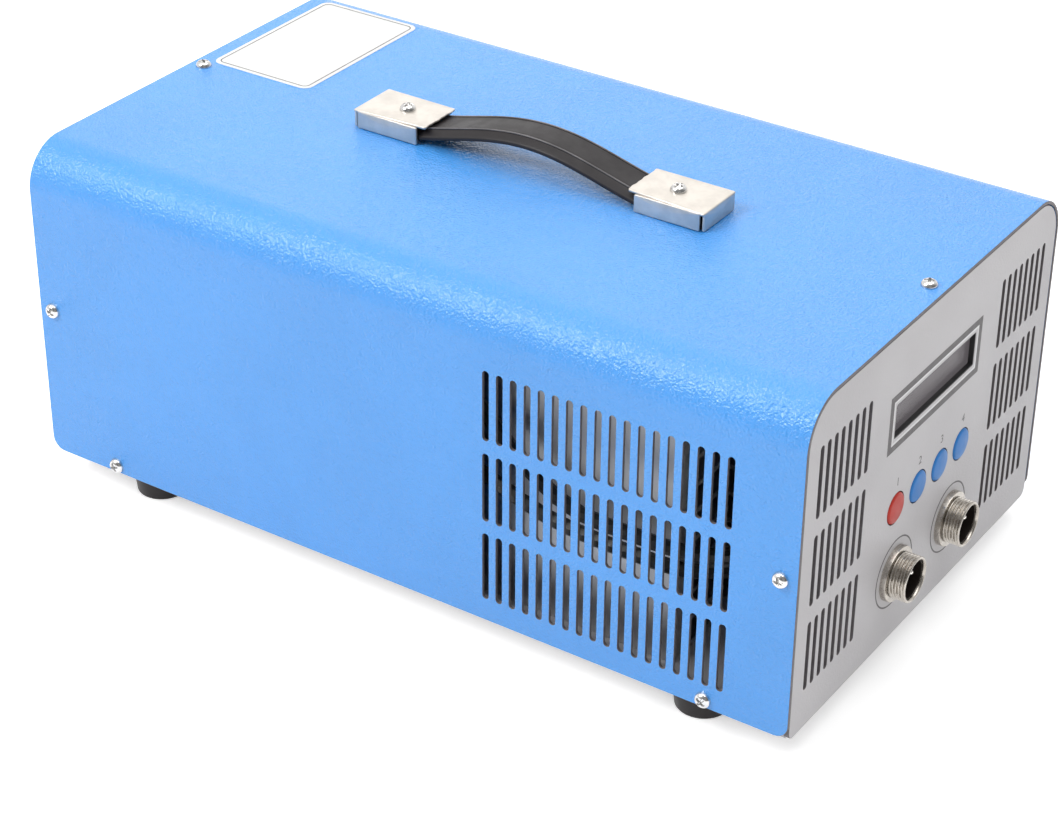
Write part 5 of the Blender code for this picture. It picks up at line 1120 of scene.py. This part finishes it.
def blade_skin(start):
    """One blade: along t the angle sweeps 38 degrees and it climbs, along s it grows out and leans 14."""
    s = np.linspace(0, 1, 9)[:, None]
    t = (1 - np.cos(np.linspace(0, math.pi, 13))) / 2
    t = np.concatenate([t, t[-2:0:-1]])[None]
    side = np.concatenate([-np.ones(13), np.ones(11)])[None]
    radius = 0.0168 + 0.0198 * s
    half = 0.0007 * np.sqrt(np.clip(1 - (2 * t - 1) ** 4, 0, 1))
    camber = 0.0012 * np.sin(math.pi * t) + side * half
    a = start + np.radians(14) * s + np.radians(38) * (t - 0.5)
    x, y = radius * np.cos(a) - camber * np.sin(a), radius * np.sin(a) + camber * np.cos(a)
    grid = on_fan(x, y, -0.0226 + 0.0145 * t + 0 * s)
    middle = [np.repeat(grid[k].mean(0)[None, None], grid.shape[1], 1) for k in (0, -1)]
    return skin(np.concatenate([middle[0], grid, middle[1]]))


make("rotor", [turned(cup, 72, (0, 0), on_fan)] + [blade_skin(a) for a in around(7)], black_plastic,
     body="fan_rotor", replaces="fan_rotor", slot="black_plastic", sharp=45)

# %% [markdown]
# ## Wire guard
# The guard is bent from bright wire: four rings welded on four spokes that end in screw eyes. Each
# wire is a round section carried along its path.

# %% Guard
WIRE, RING_OUT, SPOKE_OUT = 0.00075, 0.00235, 0.00145
wires = []
for radius in np.linspace(0.010, 0.037, 4):
    a = around(int(36 + radius * 1500))
    wires.append(tube(on_fan(radius * np.cos(a), radius * np.sin(a), RING_OUT + 0 * a), WIRE, 10, True))
for x, y in FAN_HOLES:
    share = np.linspace(0.0094, 0.0473, 12) / math.hypot(x, y)
    wires.append(tube(on_fan(x * share, y * share, SPOKE_OUT + 0 * share), WIRE, 10))
    a = around(28)
    eye = on_fan(x + 0.0034 * np.cos(a), y + 0.0034 * np.sin(a), SPOKE_OUT + 0 * a)
    wires.append(tube(eye, WIRE, 10, True))
make("guard_wires", wires, chrome, replaces="fan_guard", slot="chrome", sharp=60)

# %% [markdown]
# ## Mains inlet
# One black moulding holds three things: the mouth for a mains cord, with three blade pins, a small
# drawer with the fuse, and the rocker switch. The flange is a sheet with three holes, and behind each
# hole stands a well. A well is a stack of rings: up its outer wall, over its rim and down inside.

# %% Outlines and wells on the inlet
INLET = np.array([-INLET_X, INLET_Z])
INLET_FACE = 0.0029


def on_inlet(across, up, out):
    """A point counted from the middle of the inlet's flange."""
    return on_rear(INLET[0] + across, INLET[1] + up, out)


def corner_outline(corners, radius, steps=3):
    """A loop through corners, each rounded, and its outward directions, square to the loop's run."""
    corners = np.asarray(corners, float)
    start = (corners[-1] + corners[0]) / 2
    base = rounded([start, *corners, start], radius, steps)[:-1]
    run = np.roll(base, -1, 0) - np.roll(base, 1, 0)
    way = np.stack([run[:, 1], -run[:, 0]], -1)
    return base, way / np.linalg.norm(way, axis=1, keepdims=True)


def well(outline, rim, floor, wall=0.0008):
    """A cup behind a hole, as closed rings from the middle underneath to the middle of its floor."""
    base, way = outline
    middle = base.mean(0) + 0 * base
    rings = np.stack([middle, base + way * wall, base + way * wall, base, base, middle])
    out = np.array([floor - wall, floor - wall, rim, rim, floor, floor])[:, None] + 0 * rings[..., 0]
    return skin(on_inlet(rings[..., 0], rings[..., 1], out))


# %% Inlet block
MOUTH_UP, FUSE_UP, ROCKER_UP = -0.0132, 0.0009, 0.0133
half_w, half_h, cut = 0.0122, 0.0082, 0.0045
low, high = MOUTH_UP - half_h, MOUTH_UP + half_h
mouth = corner_outline([(-half_w, low), (half_w, low), (half_w, high - cut),
                        (half_w - cut, high), (cut - half_w, high), (-half_w, high - cut)], 0.0012)
fuse_slot = box_outline(0.0216, 0.0080, 0.0004, (0, FUSE_UP), 2)
rocker_well = box_outline(0.02177, 0.0126, 0.0005, (0, ROCKER_UP), 2)
inlet_edge, FLANGE_T = box_outline(0.031, 0.058, 0.0015, (0, 0), 5), 0.0026
holed_sheet("inlet_flange", inlet_edge, [mouth, fuse_slot, rocker_well], FLANGE_T, 0.0005,
            lambda u, v, out: on_inlet(u, v, INLET_FACE + out), black_plastic,
            body="case", replaces="inlet_block", slot="black_plastic")
wells = [well(mouth, 0.0010, -0.0136), well(fuse_slot, 0.0010, -0.0171), well(rocker_well, 0.0010, -0.0026),
         well(box_outline(0.0254, 0.0454, 0.0010, (0, 0), 3), -0.0002, -0.0232)]
pins = []
for across, up in ((-0.007, -0.002), (0.0, 0.002), (0.007, -0.002)):
    outline = box_outline(0.0020, 0.0040, 0.0004, (across, MOUTH_UP + up), 2)
    pins.append((*slab(outline, -0.0138, -0.0049, 0.0005, on_inlet), 1))
make("inlet_wells", [(*w, 0) for w in wells] + pins, [black_plastic, pin_metal], replaces="inlet_block",
     slot="black_plastic")

# %% [markdown]
# ## Fuse drawer and fuse
# The drawer's face is a small plate with a raised grip. Behind it, a tray open at the top carries a
# glass fuse with two metal caps. Both ride on the drawer's body, so the fuse comes out with it.

# %% Drawer
def bar(width, height, centre, low, high, edge=0.0002):
    """A straight-sided block on the inlet with softened edges."""
    return slab(box_outline(width, height, edge, centre, 2), low, high, edge, on_inlet, 2)


drawer = [
    bar(0.0240, 0.0086, (0, FUSE_UP), 0.0032, 0.0046, 0.0005),
    bar(0.0080, 0.0014, (0, FUSE_UP), 0.0044, 0.0050, 0.0003),
    bar(0.0210, 0.0074, (0, FUSE_UP), -0.0070, 0.0034), bar(0.0210, 0.0074, (0, FUSE_UP), -0.0156, -0.0126),
    bar(0.0210, 0.0014, (0, FUSE_UP - 0.0030), -0.0128, -0.0068),
    *(bar(0.0007, 0.0074, (s * 0.01015, FUSE_UP), -0.0128, -0.0068, 0.0001) for s in (-1, 1))]
make("drawer", drawer, black_plastic, body="fuse_drawer", replaces="fuse_drawer", slot="black_plastic")

# %% Fuse
fuse_low, fuse_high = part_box("fuse")
middle = (fuse_low + fuse_high) / 2
tube_glass = finish("clear_glass", (0.80, 0.84, 0.84), (0.03, 0.05), tone=0.02, Transmission_Weight=0.9,
                    IOR=1.5)


def across_fuse(u, v, h):
    """A point of the fuse, with h along its axis, which lies across the case."""
    return np.stack([middle.x + h, middle.y + u, middle.z + v], -1)


cap_round = rounded([(0, 0.0046), (0.0025, 0.0046), (0.0025, 0.0095), (0, 0.0095)], 0.0005)
skins = [(*turned(cap_round * [1, s], 32, (0, 0), across_fuse), 1) for s in (-1, 1)]
glass_round = [(0, -0.005), (0.0023, -0.005), (0.0023, 0.005), (0, 0.005)]
skins.append((*turned(glass_round, 32, (0, 0), across_fuse), 0))
make("fuse_tube", skins, [tube_glass, nickel], body="fuse_drawer", replaces="fuse", slot="clear_glass")

# %% [markdown]
# ## Rocker
# The rocker's section is a block whose top is a shallow V. It is carried up along the pivot's axis and
# turned 9 degrees, its off position. A bar and a ring, raised like ink, mark its two ends.

# %% Rocker and its marks
TILT, PIVOT_OUT = math.radians(9), 0.0010


def on_rocker(across, up, out):
    """A point of the rocker: turned about its pivot, x' = x cos t + z sin t, z' = z cos t - x sin t."""
    c, s = math.cos(TILT), math.sin(TILT)
    return on_inlet(across * c + out * s, ROCKER_UP + up, PIVOT_OUT + out * c - across * s)


half = 0.0098
corners = [(-half, -0.0015), (half, -0.0015), (half, 0.0040), (0, 0.0022), (-half, 0.0040)]
base, way = corner_outline(corners, 0.0006)
level = np.array([-0.006, -0.006, -0.00585, -0.0055, 0.0055, 0.00585, 0.006, 0.006])
inset = np.array([0, 0.0005, 0.00015, 0, 0, 0.00015, 0.0005, 0])[:, None, None]
rings = base[None] - way[None] * inset
rings[[0, -1]] = (0, 0.0005)
body_skin = skin(on_rocker(rings[..., 0], level[:, None] + 0 * rings[..., 0], rings[..., 1]))
axle = [turned([(0, s * 0.0055), (0.0015, s * 0.0055), (0.0015, s * 0.007), (0, s * 0.007)], 24, (0, 0),
               lambda u, v, h: on_rocker(u, h, v)) for s in (-1, 1)]
make("rocker_cap", [body_skin, *axle], red_cap, body="rocker", replaces="rocker", slot="red_cap")
SLANT = math.atan2(0.0018, half)


def on_half(side):
    """The plane of one half of the rocker's top, counted from that half's middle."""
    def place(u, v, out):
        across = side * half / 2 + u * math.cos(SLANT) - side * out * math.sin(SLANT)
        return on_rocker(across, v, 0.0031 + side * u * math.sin(SLANT) + out * math.cos(SLANT))

    return place


bar_mark = slab(box_outline(0.0006, 0.0040, 0.0001, (0, 0), 2), -INK, INK, 0.00001, on_half(-1), 1)
ring_mark = band(ring_outline(0.0018, (0, 0), 32), ring_outline(0.0013, (0, 0), 32), -INK, INK, on_half(1))
make("rocker_marks", [bar_mark, ring_mark], ink_pale, body="rocker", slot="grey_coat")

# %% [markdown]
# ## Plain numbers and a blank label
# Each button gets a plain number above it, from text turned into a mesh and laid on the panel. The
# label's place on the top holds a blank white sticker with rounded corners and a thin outline.

# %% Numbers over the buttons
NUMBER_SIZE, NUMBER_UP = 0.0042, 0.0098
for number, x in enumerate(BUTTON_XS, 1):
    curve = bpy.data.curves.new(f"number_{number}", "FONT")
    curve.body, curve.size, curve.extrude = str(number), NUMBER_SIZE, INK
    curve.align_x, curve.align_y = "CENTER", "CENTER"
    holder = bpy.data.objects.new(curve.name, curve)
    bpy.context.scene.collection.objects.link(holder)
    mesh = bpy.data.meshes.new_from_object(holder.evaluated_get(bpy.context.evaluated_depsgraph_get()))
    bpy.data.objects.remove(holder)
    flat = np.empty(len(mesh.vertices) * 3)
    mesh.vertices.foreach_get("co", flat)
    flat = flat.reshape(-1, 3)
    laid = on_front(x + flat[:, 0], button_z + NUMBER_UP + flat[:, 1], flat[:, 2])
    mesh.vertices.foreach_set("co", laid.ravel())
    mesh.name = f"number_{number}"
    mesh.materials.clear()
    mesh.materials.append(ink_dark)
    place_piece(mesh, "case", (), "dark_plastic")

# %% Blank label
label_white = finish("label_white", (0.76, 0.76, 0.75), (0.30, 0.38),
                     (slow_drift, {"Scale": 60.0}, 0.03, 0.00005), tone=0.015, dust=0.02)
LABEL_W, LABEL_L, LABEL_AT = 0.0675, 0.0430, (0.03825, 0.1225)
sticker = slab(box_outline(LABEL_W, LABEL_L, 0.0035, LABEL_AT, 6), -0.00005, 0.00014, 0.00006, on_top)
frame_line = band(box_outline(LABEL_W - 0.0030, LABEL_L - 0.0030, 0.0024, LABEL_AT, 6),
                  box_outline(LABEL_W - 0.0038, LABEL_L - 0.0038, 0.0020, LABEL_AT, 6), 0.0001, 0.00017,
                  on_top)
make("blank_label", [(*sticker, 0), (*frame_line, 1)], [label_white, ink_dark], slot="grey_coat")

# %% [markdown]
# ## Floor and light
# A plain pale floor and a soft studio. The world gives a plain level from all sides, a wide lamp
# overhead lifts what faces up, and a second one, high at the back left, draws the soft band along the
# cover's rounded corner. Two weak ones fill in from the back right and the front left. Camera rays see
# the world as white, and mirror and glass rays see it brightest towards the back right, dimmer elsewhere.

# %% Floor
floor_mesh = bpy.data.meshes.new("floor")
floor_mesh.from_pydata([(-6, -6, 0), (6, -6, 0), (6, 6, 0), (-6, 6, 0)], [], [(0, 1, 2, 3)])
floor = bpy.data.objects.new("floor", floor_mesh)
bpy.context.scene.collection.objects.link(floor)
ground = finish("floor", (0.86, 0.86, 0.86), (0.85, 0.95), tone=0.002)
floor_mesh.materials.append(ground)


def seen_directly(tree):
    """1 for camera, mirror and glass rays, 0 for the soft light that lands on the object."""
    path = add(tree, "LightPath").outputs
    seen = calc(tree, "MAXIMUM", path["Is Camera Ray"], path["Is Glossy Ray"])
    return calc(tree, "MAXIMUM", seen, path["Is Transmission Ray"])


FLOOR_GLOW = 0.50
tree = ground.node_tree
shader = tree.nodes["Principled BSDF"]
shader.inputs["Emission Color"].default_value = (1.0, 1.0, 1.0, 1.0)
glow = calc(tree, "MULTIPLY", seen_directly(tree), FLOOR_GLOW)
tree.links.new(glow, shader.inputs["Emission Strength"])

# %% World
world = bpy.data.worlds.new("studio")
bpy.context.scene.world = world
world.use_nodes = True
sky = world.node_tree
direction = add(sky, "TexCoord").outputs["Generated"]
toward = add(sky, "VectorMath", {0: direction, 1: (0.55, 0.75, 0.35)},
             operation="DOT_PRODUCT").outputs["Value"]
mirror_level = ramp(sky, toward, -0.6, 0.5, 0.18, 1.0)
white_seen = calc(sky, "MAXIMUM", add(sky, "LightPath").outputs["Is Camera Ray"], mirror_level)
sky.nodes["Background"].inputs["Color"].default_value = (1.0, 1.0, 1.0, 1.0)
SOFT_LEVEL = 0.42
beyond = calc(sky, "SUBTRACT", white_seen, SOFT_LEVEL)
strength = calc(sky, "MULTIPLY_ADD", seen_directly(sky), beyond, SOFT_LEVEL)
sky.links.new(strength, sky.nodes["Background"].inputs["Strength"])


# %% Lamps
def lamp(name, spot, aim, size, power):
    """A square area lamp that faces its aim."""
    light = bpy.data.lights.new(name, "AREA")
    light.shape, light.size, light.energy = "SQUARE", size, power
    holder = bpy.data.objects.new(name, light)
    bpy.context.scene.collection.objects.link(holder)
    away = np.subtract(spot, aim) / math.dist(spot, aim)
    side = np.cross([0.1, 1.0, 0.0], away)
    side /= np.linalg.norm(side)
    aim_by(holder, side, np.cross(away, side), away, spot)


lamp("overhead", (0.2, -0.2, 2.0), (0, 0, 0.1), 1.8, 21.5)
lamp("back_left", (-1.15, 0.80, 1.45), (-0.07, 0, 0.12), 0.8, 21.0)
lamp("back_right", (1.60, 1.05, 1.05), (0, 0, 0.13), 1.5, 4.0)
lamp("front_left", (-1.6, -1.5, 0.9), (0, -0.1, 0.06), 1.4, 1.0)
